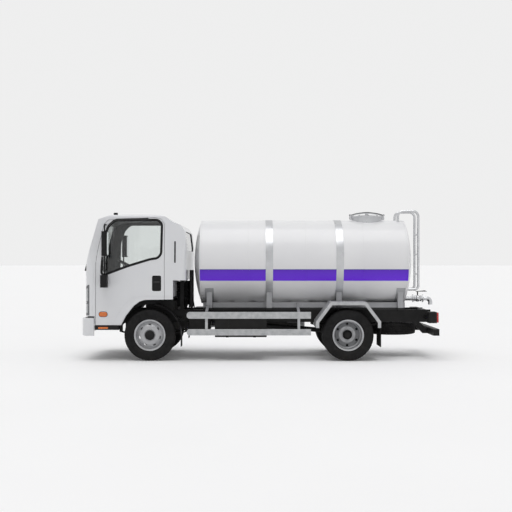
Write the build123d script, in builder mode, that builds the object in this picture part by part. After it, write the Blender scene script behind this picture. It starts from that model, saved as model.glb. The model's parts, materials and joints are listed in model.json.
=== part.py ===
from build123d import *
from math import cos, radians, sin, sqrt
import os

# Tanker truck: a forward-control two-axle chassis with a round steel tank.
# Millimetres. +X points forward, +Y to the driver's left and +Z up. The origin is
# on the ground, below the middle of the whole vehicle's box.

os.makedirs("parts", exist_ok=True)

# Whole vehicle
front_overhang = 1070.0
wheelbase = 3030.0
front_axle_x = 1710.0
rear_axle_x = front_axle_x - wheelbase
bumper_x = front_axle_x + front_overhang
seat_gap = 0.3
cut_overrun = 20.0

# Tyres and wheels
tyre_radius = 392.0
tyre_width = 200.0
bead_radius = 222.0
rim_flange_radius = 239.0
rim_flange_wall = 10.0
rim_width = 172.0
disc_wall = 12.0
axle_height = tyre_radius
front_wheel_y = 820.0
outer_dual_y = 850.0
inner_dual_y = 614.0
stub_radius = 30.0
hub_radius = 62.0
front_hole_ring = 160.0
front_hole_length = 46.0
front_hole_width = 20.0
front_hole_count = 7
rear_hole_ring = 165.0
rear_hole_radius = 20.0
rear_hole_count = 6
nut_ring_radius = 105.0
nut_radius = 14.0
nut_height = 22.0
nut_count = 6
drum_radius = 160.0
drum_wall = 10.0

# Front axle, knuckles and steering
kingpin_y = 700.0
kingpin_radius = 15.0
eye_radius = 38.0
eye_height = 104.0
fork_wall = 30.0
fork_gap = 0.3
fork_back_y = 748.0
beam_width = 80.0
beam_height = 72.0
beam_top_z = 330.0
beam_neck_y = 590.0
steering_arm = 160.0
steering_arm_width = 34.0
tie_rod_radius = 14.0
ball_radius = 20.0

# Rear axle and springs
axle_tube_radius = 58.0
axle_tube_y = 500.0
diff_radius = 165.0
spring_y = 342.0
spring_width = 60.0
spring_wall = 34.0
spring_half_length = 540.0
spring_rise = 78.0
shackle_width = 46.0
stub_reach = 40.0
neck_clearance = 12.0
drum_gap = 6.0
hub_inset = 20.0
rim_flange_slope = 13.8
nut_seat = 92.0
beam_neck_width = 46.0
shoulder_run = 24.0
bead_rise = 26.0

# Frame
frame_half_width = 375.0
frame_flange = 65.0
frame_wall = 8.0
frame_bottom_z = 560.0
frame_top_z = 757.0
frame_front_inset = 145.0
frame_front_x = bumper_x - frame_front_inset
frame_tail = 1360.0
frame_rear_x = rear_axle_x - frame_tail
member_width = 80.0
member_height = 60.0
member_places_share = (0.012, 0.1086, 0.25, 0.42, 0.53, 0.647, 0.985)

# Cab
cab_back_reach = 558.0
cab_back_x = front_axle_x - cab_back_reach
cab_front_inset = 55.0
cab_front_x = bumper_x - cab_front_inset
cab_base_z = 548.0
cab_roof_z = 2259.0
cab_half_width = 930.0
cab_length = cab_front_x - cab_back_x
cab_height = cab_roof_z - cab_base_z
cab_bow = 30.0
cab_front_corner = 150.0
cab_back_corner = 70.0
cab_roof_corner = 45.0
door_depth_limit = 150.0
door_wall = 38.0
cab_wall = 55.0
door_gap = 6.0
door_seal_gap = 0.4
door_rebate = 30.0
glass_depth = 14.0
glass_wall = 6.0
glass_gap = 0.3
window_corner = 45.0
tunnel_half_width = 600.0
tunnel_top_z = 790.0
cab_floor_wall = 40.0
cab_pivot_inset = 65.0
cab_pivot_x = cab_front_x - cab_pivot_inset
cab_pivot_z = 725.0
pivot_pin_radius = 8.0
pivot_nose_radius = 13.0
pivot_bracket_y = 345.0
pivot_bracket_wall = 30.0
pivot_lug_wall = 25.0
pivot_lug_radius = 20.0
front_panel_wall = 45.0
front_panel_back_x = cab_front_x - front_panel_wall
lamp_pocket_gap = 0.5
headlamp_wall = 35.0
headlamp_reach = 92.0
headlamp_rear_x = cab_front_x - headlamp_reach
handle_depth = 9.0
grille_recess = 4.0
grille_wall = 24.0
grille_corner = 18.0
grille_border = 22.0
grille_slot_depth = 17.0
grille_slot_height = 24.0
grille_slot_length = 600.0
grille_slot_count = 4
grille_post = 26.0
lens_depth = 7.0
lens_corner = 16.0
lamp_groove_width = 12.0
lamp_groove_depth = 12.0
groove_width = 5.0
groove_depth = 4.0
vent_depth = 10.0
screen_corner = 55.0
screen_reach = 425.0
screen_rear_x = cab_front_x - screen_reach
rear_window_reach = 148.0
rear_window_front_x = cab_back_x + rear_window_reach
seat_width = 470.0
seat_y = 430.0
seat_corner = 28.0
wheel_inset = 645.0
wheel_x = cab_front_x - wheel_inset
wheel_y = 450.0
wheel_z = 1440.0
wheel_tilt = 30.0
wheel_ring = 205.0
wheel_grip = 14.0
wheel_boss = 50.0
wheel_boss_wall = 36.0
wheel_spoke_width = 30.0
column_radius = 24.0
sill_inset = 233.0
sill_front_x = bumper_x - sill_inset
sill_reach = 475.0
sill_rear_x = front_axle_x + sill_reach
sill_inner_y = 700.0
sill_step_y = 885.0
sill_outer_y = 922.0
sill_floor_z = 472.0
sill_door_gap = 6.0
sill_bevel = 18.0
mirror_arm_inset = 340.0
mirror_arm_x = cab_front_x - mirror_arm_inset
mirror_arm_y = 1015.0
mirror_arm_radius = 11.0
mirror_arm_top_z = 2080.0
mirror_arm_floor_z = 1316.0
mirror_arm_bend = 40.0
mirror_back_reach = 55.0
mirror_front_reach = 27.0
mirror_inner_y = 985.0
mirror_outer_y = 1165.0
mirror_floor_z = 1601.0
mirror_top_z = 1974.0
small_mirror_back_reach = 50.0
small_mirror_front_reach = 53.0
small_mirror_inner_y = 965.0
small_mirror_outer_y = 1120.0
small_mirror_floor_z = 1124.0
small_mirror_top_z = 1312.0
mirror_corner = 26.0
rest_reach = 138.0
rest_front_x = cab_back_x + rest_reach
rest_wall = 60.0
rest_rear_x = rest_front_x - rest_wall
rest_beam_height = 40.0
rest_gap = 0.4

# Tank
tank_radius = 670.0
tank_axis_z = 1515.0
tank_cab_gap = 185.0
tank_front_x = cab_back_x - tank_cab_gap
tank_tail = 975.0
tank_rear_x = rear_axle_x - tank_tail
tank_dish = 115.0
strap_width = 113.0
strap_wall = 7.0
tank_length = tank_front_x - tank_rear_x
strap_places_share = (0.66616, 0.32863)
strap_places = [tank_rear_x + share * tank_length for share in strap_places_share]

# Tank fittings
pad_wall = 7.0
pad_overhang = 26.0
pad_half_angle = 52.0
leg_end_places_share = (0.95524, 0.03219)
leg_end_places = [tank_rear_x + share * tank_length for share in leg_end_places_share]
leg_places = leg_end_places + strap_places
leg_width = 86.0
leg_outer_y = 482.0
leg_web_wall = 12.0
leg_web_inner_y = 190.0
beam_inner_y = 312.0
beam_outer_y = 380.0
beam_floor_z = frame_top_z
beam_roof_z = 872.0
beam_front_inset = 42.0
beam_front_x = tank_front_x - beam_front_inset
beam_rear_inset = 23.0
beam_rear_x = tank_rear_x + beam_rear_inset
brace_width = 70.0
brace_top_z = 820.0
brace_places_share = (0.12, 0.46, 0.86)
hatch_inset = 579.0
hatch_x = tank_rear_x + hatch_inset
hatch_radius = 240.0
hatch_wall = 12.0
hatch_neck_height = 55.0
hatch_rim_z = tank_axis_z + tank_radius + hatch_neck_height
hatch_flange_radius = 256.0
hatch_flange_wall = 14.0
hatch_lid_wall = 10.0
hatch_dome = 22.0
hatch_post_wall = 24.0
hatch_post_half_width = 27.0
hatch_ear_wall = 9.0
hatch_post_height = 44.0
hatch_base_z = hatch_rim_z - hatch_post_height
hatch_pin_rise = 22.0
hatch_pin_z = hatch_rim_z + hatch_pin_rise
hatch_ear_rise = 12.0
hatch_ear_z = hatch_pin_z + hatch_ear_rise
hatch_pin_radius = 7.0
hatch_eye_radius = 13.0
clamp_bar_rise = 48.0
clamp_bar_top_z = hatch_pin_z + clamp_bar_rise
clamp_bar_wall = 12.0
clamp_bar_width = 26.0
ladder_y = 175.0
ladder_tube = 21.0
ladder_inset = 100.0
ladder_front_x = tank_rear_x + ladder_inset
ladder_reach = 228.0
ladder_rear_x = tank_rear_x - ladder_reach
ladder_rise = 145.0
ladder_top_z = tank_axis_z + tank_radius + ladder_rise
ladder_foot_z = 1073.0
ladder_top_bend = 90.0
ladder_foot_bend = 60.0
rung_radius = 14.0
rung_places_share = (0.70167, 0.44551, 0.19332)
outlet_z = 922.0
outlet_radius = 35.0
outlet_bore = 29.0
outlet_flange_radius = 62.0
outlet_flange_wall = 16.0
valve_reach = 165.0
valve_front_x = tank_rear_x - valve_reach
valve_length = 160.0
valve_rear_x = valve_front_x - valve_length
valve_radius = 54.0
lever_z = 1040.0
lever_length = 150.0
lever_wall = 8.0
lever_width = 26.0
lever_stem_radius = 10.0
spout_bore_depth = 34.0
spout_reach = 125.0
spout_bend = 62.0
spout_end_z = 822.0

# Front and side fittings
bumper_wall = 40.0
bumper_wrap = 220.0
bumper_rear_x = bumper_x - bumper_wrap
bumper_floor_z = 383.0
bumper_top_z = 655.0
bumper_corner = 165.0
bumper_edge = 14.0
bumper_slot_length = 330.0
bumper_slot_height = 62.0
bumper_slot_post = 40.0
bumper_slot_z = 468.0
bumper_bow_reach = 90.0
fog_lamp_y = 640.0
fog_lamp_radius = 48.0
fog_lamp_depth = 12.0
bumper_arm_half_width = 40.0
bumper_arm_length = 120.0
bumper_arm_height = 60.0
muffler_edge = 24.0
exhaust_tail_reach = 230.0
fuel_cap_inset = 90.0
fuel_cap_radius = 45.0
fuel_cap_height = 30.0
battery_shelf_wall = 30.0
air_tank_y = 500.0
air_tank_z = 640.0
air_tank_radius = 100.0
engine_reach = 140.0
engine_front_x = front_axle_x + engine_reach
engine_length = 520.0
engine_rear_x = engine_front_x - engine_length
engine_half_width = 250.0
engine_floor_z = 440.0
engine_top_z = 890.0
gearbox_length = 480.0
gearbox_rear_x = engine_rear_x - gearbox_length
gearbox_half_width = 150.0
gearbox_top_z = 720.0
shaft_radius = 38.0
shaft_flange_radius = 62.0
shaft_flange_wall = 20.0
shaft_front_gap = 5.6
shaft_end_gap = 1.0
shaft_front_z = 560.0
muffler_reach = 1860.0
muffler_x = front_axle_x - muffler_reach
muffler_y = -560.0
muffler_z = 470.0
muffler_radius = 110.0
muffler_length = 560.0
exhaust_tube = 32.0
exhaust_bend = 120.0
exhaust_tail_run = 490.0
exhaust_tail_x = muffler_x - exhaust_tail_run
exhaust_front_reach = 590.0
exhaust_front_x = front_axle_x - exhaust_front_reach
fuel_reach = 993.0
fuel_front_x = front_axle_x - fuel_reach
fuel_length = 794.0
fuel_rear_x = fuel_front_x - fuel_length
fuel_inner_y = 440.0
fuel_outer_y = 880.0
fuel_floor_z = 356.0
fuel_top_z = 700.0
fuel_corner = 60.0
fuel_strap_places_share = (0.23552, 0.76196)
fuel_strap_width = 40.0
fuel_strap_wall = 5.0
battery_reach = 580.0
battery_front_x = front_axle_x - battery_reach
battery_length = 340.0
battery_rear_x = battery_front_x - battery_length
battery_inner_y = 430.0
battery_outer_y = 720.0
battery_floor_z = 470.0
battery_top_z = 700.0
battery_corner = 18.0
guard_y = 940.0
guard_wall = 30.0
guard_front_reach = 567.0
guard_front_x = front_axle_x - guard_front_reach
guard_rear_reach = 569.0
guard_rear_x = rear_axle_x + guard_rear_reach
guard_low_floor_z = 391.0
guard_low_top_z = 486.0
guard_high_floor_z = 646.0
guard_high_top_z = 748.0
guard_posts_share = (0.84213, 0.09662)
guard_post_width = 40.0
guard_post_wall = 20.0
guard_post_top_z = 877.0
guard_end_radius = 44.0
guard_lip = 14.0
guard_groove = 6.0
fender_front_reach = 494.0
fender_front_x = rear_axle_x + fender_front_reach
fender_rear_reach = 496.0
fender_rear_x = rear_axle_x - fender_rear_reach
fender_flat_front_reach = 270.0
fender_flat_front_x = rear_axle_x + fender_flat_front_reach
fender_flat_rear_reach = 274.0
fender_flat_rear_x = rear_axle_x - fender_flat_rear_reach
fender_floor_z = 507.0
fender_knee_z = 604.0
fender_top_z = 902.0
fender_lip = 49.0
fender_inner_y = 490.0
fender_outer_y = 975.0
fender_wall = 5.0
fender_stay_width = 40.0
fender_stay_share = (0.3, 0.72)
rear_flap_floor_z = 215.0
flap_wall = 8.0
front_flap_reach = 474.0
front_flap_x = front_axle_x - front_flap_reach
front_flap_floor_z = 218.0
mudguard_radius = 472.0
mudguard_wall = 6.0
mudguard_inner_y = 690.0
mudguard_outer_y = 925.0
mudguard_top_z = 860.0
mudguard_low_z = 400.0
mudguard_stay_z = 640.0
mudguard_stay_radius = 14.0
bar_reach = 36.0
bar_rear_x = frame_rear_x - bar_reach
bar_wall = 90.0
bar_floor_z = 384.0
bar_top_z = 484.0
bar_half_width = 905.0
strut_width = 60.0
strut_front_inset = 300.0
strut_top_front_x = frame_rear_x + strut_front_inset
strut_rear_inset = 180.0
strut_top_rear_x = frame_rear_x + strut_rear_inset
strut_foot_reach = 70.0
lamp_inset = 2.0
lamp_rear_x = frame_rear_x + lamp_inset
lamp_depth = 118.0
lamp_front_x = lamp_rear_x + lamp_depth
lamp_inner_y = 700.0
lamp_outer_y = 905.0
lamp_floor_z = 575.0
lamp_top_z = 745.0
lamp_beam_floor_z = 620.0
lamp_beam_top_z = 680.0
lamp_beam_inset = 55.0
lamp_beam_front_x = frame_rear_x + lamp_beam_inset
lamp_beam_wall = 40.0
lamp_beam_rear_x = lamp_beam_front_x + lamp_beam_wall
spare_reach = 783.0
spare_x = rear_axle_x - spare_reach
spare_floor_z = 352.0
spare_hanger_radius = 24.0
intake_gap = 16.0
intake_front_x = cab_back_x - intake_gap
intake_depth = 52.0
intake_rear_x = intake_front_x - intake_depth
intake_inner_y = 180.0
intake_outer_y = 440.0
intake_floor_z = 800.0
intake_top_z = 1384.0
intake_corner = 20.0
intake_tube = 45.0
intake_tube_y = 400.0


def span_block(x_span, y_span, z_span, mode=Mode.ADD):
    # a block between the two ends of each span
    spans = (x_span, y_span, z_span)
    with Locations(tuple(sum(span) / 2 for span in spans)):
        Box(*(span[1] - span[0] for span in spans), mode=mode)


def tube(points, bends, radius):
    # a round tube along straight runs joined by bends
    with BuildPart() as run:
        with BuildLine() as route:
            FilletPolyline(*points, radius=bends)
        with BuildSketch(Plane(origin=route.line @ 0, z_dir=route.line % 0)):
            Circle(radius)
        sweep(path=route.wires()[0])
    return run.part


# Frame: two channels and the members between them
with BuildPart() as frame_rails:
    with BuildSketch(Plane.YZ.offset(frame_rear_x)):
        flange_middle_y = frame_half_width - frame_flange / 2
        frame_middle_z = (frame_bottom_z + frame_top_z) / 2
        frame_height = frame_top_z - frame_bottom_z
        with Locations((flange_middle_y, frame_middle_z)):
            Rectangle(frame_flange, frame_height)
        with Locations((flange_middle_y - frame_wall, frame_middle_z)):
            Rectangle(frame_flange, frame_height - 2 * frame_wall, mode=Mode.SUBTRACT)
    extrude(amount=frame_front_x - frame_rear_x)
    mirror(about=Plane.XZ)
frame_rails.part.label = "frame_rails"
export_step(frame_rails.part, "parts/frame_rails.step")

frame_length = frame_front_x - frame_rear_x
web_half_width = frame_half_width - frame_wall
member_top_z = frame_top_z - frame_wall
with BuildPart() as frame_crossmembers:
    for share in member_places_share:
        member_x = frame_rear_x + share * frame_length
        span_block(
            (member_x - member_width / 2, member_x + member_width / 2),
            (-web_half_width, web_half_width),
            (member_top_z - member_height, member_top_z),
        )
frame_crossmembers.part.label = "frame_crossmembers"
export_step(frame_crossmembers.part, "parts/frame_crossmembers.step")


# Tank: a cylinder between two shallow dished ends
def tank_form(gap):
    # the tank's solid, grown all round by gap
    radius = tank_radius + gap
    with BuildPart() as form:
        with BuildSketch(Plane.XZ):
            with BuildLine():
                front = (tank_front_x, tank_axis_z + radius)
                rear = (tank_rear_x, tank_axis_z + radius)
                front_tip = (tank_front_x + tank_dish + gap, tank_axis_z)
                rear_tip = (tank_rear_x - tank_dish - gap, tank_axis_z)
                Line(rear_tip, front_tip)
                RadiusArc(front_tip, front, -dish_radius(gap))
                Line(front, rear)
                RadiusArc(rear, rear_tip, -dish_radius(gap))
            make_face()
        revolve(axis=Axis((0, 0, tank_axis_z), (1, 0, 0)), revolution_arc=360)
    return form.part


def dish_radius(gap):
    # the radius of an end's ball cap, from its height and its rim
    radius = tank_radius + gap
    depth = tank_dish + gap
    return (radius * radius + depth * depth) / (2 * depth)


# The tank's shell, closed by its ends
with BuildPart() as tank_shell:
    add(tank_form(0))
tank_shell.part.label = "tank_shell"
export_step(tank_shell.part, "parts/tank_shell.step")

tank_clear = tank_form(seat_gap)
strap_clear_radius = tank_radius + strap_wall + 2 * seat_gap


def tank_ring(middle_x, width, wall, half_angle=None):
    # a band round the tank, or its lowest part to half_angle each side
    inner = tank_radius + seat_gap
    with BuildPart() as ring:
        with BuildSketch(Plane.YZ.offset(middle_x - width / 2)):
            with Locations((0, tank_axis_z)):
                Circle(inner + wall)
                Circle(inner, mode=Mode.SUBTRACT)
            if half_angle:
                reach = 2 * tank_radius
                side = reach * sin(radians(half_angle))
                depth = reach * cos(radians(half_angle))
                with BuildLine():
                    Polyline(
                        (0, tank_axis_z),
                        (side, tank_axis_z - depth),
                        (-side, tank_axis_z - depth),
                        close=True,
                    )
                make_face(mode=Mode.INTERSECT)
        extrude(amount=width)
    return ring.part


# Two bright straps round the tank
with BuildPart() as tank_straps:
    for strap_x in strap_places:
        add(tank_ring(strap_x, strap_width, strap_wall))
tank_straps.part.label = "tank_straps"
export_step(tank_straps.part, "parts/tank_straps.step")

# Subframe: two long beams on the rails, with braces between them
with BuildPart() as tank_subframe:
    for side in (-1, 1):
        inner_y, outer_y = sorted((side * beam_inner_y, side * beam_outer_y))
        span_block((beam_rear_x, beam_front_x), (inner_y, outer_y), (beam_floor_z, beam_roof_z))
    for share in brace_places_share:
        brace_x = beam_rear_x + share * (beam_front_x - beam_rear_x)
        span_block(
            (brace_x - brace_width / 2, brace_x + brace_width / 2),
            (-beam_inner_y, beam_inner_y),
            (beam_floor_z, brace_top_z),
        )
tank_subframe.part.label = "tank_subframe"
export_step(tank_subframe.part, "parts/tank_subframe.step")

# Legs from the subframe to the tank: each a post outside the beam and a web over it
leg_pads = [tank_ring(x, leg_width + 2 * pad_overhang, pad_wall, pad_half_angle) for x in leg_places]
with BuildPart() as leg_cutter:
    with Locations((((tank_front_x + tank_rear_x) / 2), 0, tank_axis_z)):
        Cylinder(strap_clear_radius, 2 * tank_length, rotation=(0, 90, 0))
with BuildPart() as tank_legs:
    for leg_x in leg_places:
        span_block(
            (leg_x - leg_width / 2, leg_x + leg_width / 2),
            (beam_outer_y, leg_outer_y),
            (beam_floor_z, tank_axis_z),
        )
        span_block(
            (leg_x - leg_web_wall / 2, leg_x + leg_web_wall / 2),
            (leg_web_inner_y, beam_outer_y),
            (beam_roof_z, tank_axis_z),
        )
    add(leg_cutter.part, mode=Mode.SUBTRACT)
    for leg_x, pad in zip(leg_places, leg_pads):
        if leg_x not in strap_places:
            add(pad)
    mirror(about=Plane.XZ)
tank_legs.part.label = "tank_legs"
export_step(tank_legs.part, "parts/tank_legs.step")

# Filling neck on the crown, with a flange and the two posts of its lid
hatch_post_reach = hatch_flange_radius + hatch_post_wall / 2
with BuildPart() as hatch_neck:
    with Locations((hatch_x, 0, (tank_axis_z + hatch_rim_z) / 2)):
        Cylinder(hatch_radius, hatch_rim_z - tank_axis_z)
    with Locations((hatch_x, 0, hatch_rim_z - hatch_flange_wall / 2)):
        Cylinder(hatch_flange_radius, hatch_flange_wall)
    for side in (-1, 1):
        post_x = hatch_x + side * hatch_post_reach
        post_span = (post_x - hatch_post_wall / 2, post_x + hatch_post_wall / 2)
        root_span = sorted((hatch_x, post_x + side * hatch_post_wall / 2))
        span_block(root_span, (-hatch_post_half_width, hatch_post_half_width), (hatch_base_z, hatch_rim_z))
        for ear_side in (-1, 1):
            ear_inner_y = ear_side * (hatch_post_half_width - hatch_ear_wall)
            ear_span = sorted((ear_inner_y, ear_side * hatch_post_half_width))
            span_block(post_span, ear_span, (hatch_base_z, hatch_ear_z))
        with Locations((post_x, 0, hatch_pin_z)):
            Cylinder(hatch_pin_radius, 2 * hatch_post_half_width, rotation=(90, 0, 0))
    with Locations((hatch_x, 0, (tank_axis_z + hatch_rim_z) / 2)):
        Cylinder(hatch_radius - hatch_wall, 2 * (hatch_rim_z - tank_axis_z), mode=Mode.SUBTRACT)
    add(tank_clear, mode=Mode.SUBTRACT)
hatch_neck.part.label = "hatch_neck"
export_step(hatch_neck.part, "parts/hatch_neck.step")

# Domed lid, with the arched clamp bar that holds it down and the eye at the bar's front end
lid_floor_z = hatch_rim_z + seat_gap
lid_roof_z = lid_floor_z + hatch_lid_wall
hatch_pivot_x = hatch_x + hatch_post_reach
with BuildPart() as hatch_lid:
    with BuildSketch(Plane.XZ):
        with BuildLine():
            Line((hatch_x, lid_floor_z), (hatch_x + hatch_flange_radius, lid_floor_z))
            Line((hatch_x + hatch_flange_radius, lid_floor_z), (hatch_x + hatch_flange_radius, lid_roof_z))
            Line((hatch_x + hatch_flange_radius, lid_roof_z), (hatch_x + hatch_radius, lid_roof_z))
            ThreePointArc(
                (hatch_x + hatch_radius, lid_roof_z),
                (hatch_x + hatch_radius / sqrt(2), lid_roof_z + hatch_dome / 2),
                (hatch_x, lid_roof_z + hatch_dome),
            )
            Line((hatch_x, lid_roof_z + hatch_dome), (hatch_x, lid_floor_z))
        make_face()
    revolve(axis=Axis((hatch_x, 0, 0), (0, 0, 1)), revolution_arc=360)
    with BuildSketch(Plane.XZ):
        with BuildLine():
            bar_front = (hatch_pivot_x, hatch_pin_z)
            bar_rear = (hatch_x - hatch_post_reach, hatch_pin_z)
            bar_top = (hatch_x, clamp_bar_top_z)
            low_front = (hatch_pivot_x, hatch_pin_z - clamp_bar_wall)
            low_rear = (hatch_x - hatch_post_reach, hatch_pin_z - clamp_bar_wall)
            low_top = (hatch_x, clamp_bar_top_z - clamp_bar_wall)
            ThreePointArc(bar_front, bar_top, bar_rear)
            Line(bar_rear, low_rear)
            ThreePointArc(low_rear, low_top, low_front)
            Line(low_front, bar_front)
        make_face()
    extrude(amount=clamp_bar_width / 2, both=True)
    with Locations((hatch_x, 0, (lid_floor_z + clamp_bar_top_z) / 2)):
        Cylinder(clamp_bar_width, clamp_bar_top_z - lid_floor_z)
    for side in (-1, 1):
        with Locations((hatch_x + side * hatch_post_reach, 0, hatch_pin_z)):
            Cylinder(hatch_eye_radius, clamp_bar_width, rotation=(90, 0, 0))
            Cylinder(
                hatch_pin_radius + seat_gap, 2 * clamp_bar_width, rotation=(90, 0, 0), mode=Mode.SUBTRACT
            )
hatch_lid.part.label = "hatch_lid"
export_step(hatch_lid.part, "parts/hatch_lid.step")

# Ladder at the back: two bent tubes from the crown to the rear end, with rungs between
with BuildPart() as ladder:
    for side in (-1, 1):
        rail_y = side * ladder_y
        rail_route = [
            (ladder_front_x, rail_y, tank_axis_z),
            (ladder_front_x, rail_y, ladder_top_z),
            (ladder_rear_x, rail_y, ladder_top_z),
            (ladder_rear_x, rail_y, ladder_foot_z),
            (tank_rear_x, rail_y, ladder_foot_z),
        ]
        add(tube(rail_route, [ladder_top_bend, ladder_top_bend, ladder_foot_bend], ladder_tube))
    for share in rung_places_share:
        rung_z = ladder_foot_z + share * (ladder_top_z - ladder_foot_z)
        with Locations((ladder_rear_x, 0, rung_z)):
            Cylinder(rung_radius, 2 * ladder_y, rotation=(90, 0, 0))
    add(tank_clear, mode=Mode.SUBTRACT)
ladder.part.label = "ladder"
export_step(ladder.part, "parts/ladder.step")

# Outlet: a flanged pipe from the rear end, a valve body with its lever and a bent spout
outlet_bend_x = valve_rear_x - spout_reach
with BuildPart() as outlet_valve:
    spout_route = [(tank_rear_x, 0, outlet_z), (outlet_bend_x, 0, outlet_z), (outlet_bend_x, 0, spout_end_z)]
    add(tube(spout_route, [spout_bend], outlet_radius))
    for flange_x in (valve_front_x, valve_rear_x):
        with Locations((flange_x, 0, outlet_z)):
            Cylinder(outlet_flange_radius, outlet_flange_wall, rotation=(0, 90, 0))
    with Locations(((valve_front_x + valve_rear_x) / 2, 0, outlet_z)):
        Sphere(valve_radius)
    valve_x = (valve_front_x + valve_rear_x) / 2
    with Locations((valve_x, 0, (outlet_z + lever_z) / 2)):
        Cylinder(lever_stem_radius, lever_z - outlet_z)
    span_block(
        (valve_x - lever_length, valve_x + lever_width / 2),
        (-lever_width / 2, lever_width / 2),
        (lever_z - lever_wall, lever_z),
    )
    with BuildSketch(Plane.XY.offset(spout_end_z)):
        with Locations((outlet_bend_x, 0)):
            Circle(outlet_bore)
    extrude(amount=spout_bore_depth, mode=Mode.SUBTRACT)
    add(tank_clear, mode=Mode.SUBTRACT)
outlet_valve.part.label = "outlet_valve"
export_step(outlet_valve.part, "parts/outlet_valve.step")


# Bumper: a bowed channel whose ends wrap round to the sills
def bumper_sheet(inset):
    # the bumper's outline from above, drawn in by inset and then open at the back
    rear_x = bumper_rear_x - (inset + cut_overrun if inset else 0)
    bow_x = bumper_x - cab_bow
    with BuildSketch() as sheet:
        with BuildLine():
            Line((rear_x, -cab_half_width), (bow_x, -cab_half_width))
            ThreePointArc((bow_x, -cab_half_width), (bumper_x, 0), (bow_x, cab_half_width))
            Line((bow_x, cab_half_width), (rear_x, cab_half_width))
            Line((rear_x, cab_half_width), (rear_x, -cab_half_width))
        make_face()
        fillet(sheet.vertices().group_by(Axis.X)[-1], bumper_corner)
        if inset:
            offset(amount=-inset)
    return sheet.sketch


bumper_outer = bumper_sheet(0)
bumper_inner = bumper_sheet(bumper_wall)
with BuildPart() as fog_recesses:
    with BuildSketch(Plane.YZ.offset(bumper_x - bumper_bow_reach)):
        with GridLocations(2 * fog_lamp_y, fog_lamp_y, 2, 1):
            with Locations((0, bumper_slot_z)):
                Circle(fog_lamp_radius)
    extrude(amount=bumper_bow_reach + cut_overrun)
    with BuildSketch():
        add(bumper_sheet(fog_lamp_depth))
    extrude(amount=2 * bumper_top_z, mode=Mode.SUBTRACT)
with BuildPart() as front_bumper:
    with BuildSketch(Plane.XY.offset(bumper_floor_z)):
        add(bumper_outer)
        add(bumper_inner, mode=Mode.SUBTRACT)
    extrude(amount=bumper_top_z - bumper_floor_z)
    outer_edges = front_bumper.faces().filter_by(Axis.Z).edges()
    fillet(outer_edges.filter_by(GeomType.CIRCLE).sort_by(Axis.X)[-2:], bumper_edge)
    for side in (-1, 1):
        arm_span = sorted((side * (web_half_width - bumper_arm_half_width), side * web_half_width))
        span_block(
            (frame_front_x - bumper_arm_length, bumper_x - bumper_wall / 2),
            arm_span,
            (frame_bottom_z + frame_wall, frame_bottom_z + frame_wall + bumper_arm_height),
        )
    with BuildSketch(Plane.YZ.offset(bumper_x - bumper_bow_reach)):
        with Locations((0, bumper_slot_z)):
            with GridLocations(bumper_slot_length + bumper_slot_post, bumper_slot_height, 2, 1):
                SlotOverall(bumper_slot_length, bumper_slot_height)
    extrude(amount=bumper_bow_reach + cut_overrun, mode=Mode.SUBTRACT)
    add(fog_recesses.part, mode=Mode.SUBTRACT)
front_bumper.part.label = "front_bumper"
export_step(front_bumper.part, "parts/front_bumper.step")

# Engine and gearbox as one plain block between the rails
with BuildPart() as engine:
    span_block(
        (engine_rear_x, engine_front_x),
        (-engine_half_width, engine_half_width),
        (engine_floor_z, engine_top_z),
    )
    span_block(
        (gearbox_rear_x, engine_rear_x),
        (-gearbox_half_width, gearbox_half_width),
        (engine_floor_z, gearbox_top_z),
    )
engine.part.label = "engine"
export_step(engine.part, "parts/engine.step")

# Propeller shaft from the gearbox down to the rear axle
shaft_rear_x = rear_axle_x + diff_radius
shaft_start = Vector(gearbox_rear_x, 0, shaft_front_z)
shaft_end = Vector(shaft_rear_x, 0, axle_height)
shaft_run = shaft_end - shaft_start
shaft_plane = Plane(origin=shaft_start, z_dir=shaft_run)
shaft_tail = shaft_run.length - shaft_end_gap
# from, to and radius along the shaft's run
shaft_spans = (
    (shaft_front_gap, shaft_tail, shaft_radius),
    (shaft_front_gap, shaft_front_gap + shaft_flange_wall, shaft_flange_radius),
    (shaft_tail - shaft_flange_wall, shaft_tail, shaft_flange_radius),
)
with BuildPart() as propeller_shaft:
    for start, end, radius in shaft_spans:
        with BuildSketch(shaft_plane.offset(start)):
            Circle(radius)
        extrude(amount=end - start)
propeller_shaft.part.label = "propeller_shaft"
export_step(propeller_shaft.part, "parts/propeller_shaft.step")

# Exhaust: silencer and pipes along the right-hand rail
with BuildPart() as exhaust:
    with Locations((muffler_x, muffler_y, muffler_z)):
        Cylinder(muffler_radius, muffler_length, rotation=(0, 90, 0))
    fillet(exhaust.edges().filter_by(GeomType.CIRCLE), muffler_edge)
    front_pipe = [
        (muffler_x, muffler_y, muffler_z),
        (exhaust_front_x, muffler_y, muffler_z),
        (exhaust_front_x, -gearbox_half_width - seat_gap, muffler_z),
    ]
    add(tube(front_pipe, [exhaust_bend], exhaust_tube))
    tail_pipe = [
        (muffler_x, muffler_y, muffler_z),
        (exhaust_tail_x, muffler_y, muffler_z),
        (exhaust_tail_x, muffler_y - exhaust_tail_reach, muffler_z),
    ]
    add(tube(tail_pipe, [exhaust_bend], exhaust_tube))
    for side in (-1, 1):
        hanger_x = muffler_x + side * muffler_length / 4
        span_block(
            (hanger_x - fuel_strap_width / 2, hanger_x + fuel_strap_width / 2),
            (muffler_y, -frame_half_width),
            (frame_bottom_z + frame_wall, frame_bottom_z + frame_wall + bumper_arm_height / 2),
        )
exhaust.part.label = "exhaust"
export_step(exhaust.part, "parts/exhaust.step")

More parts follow.
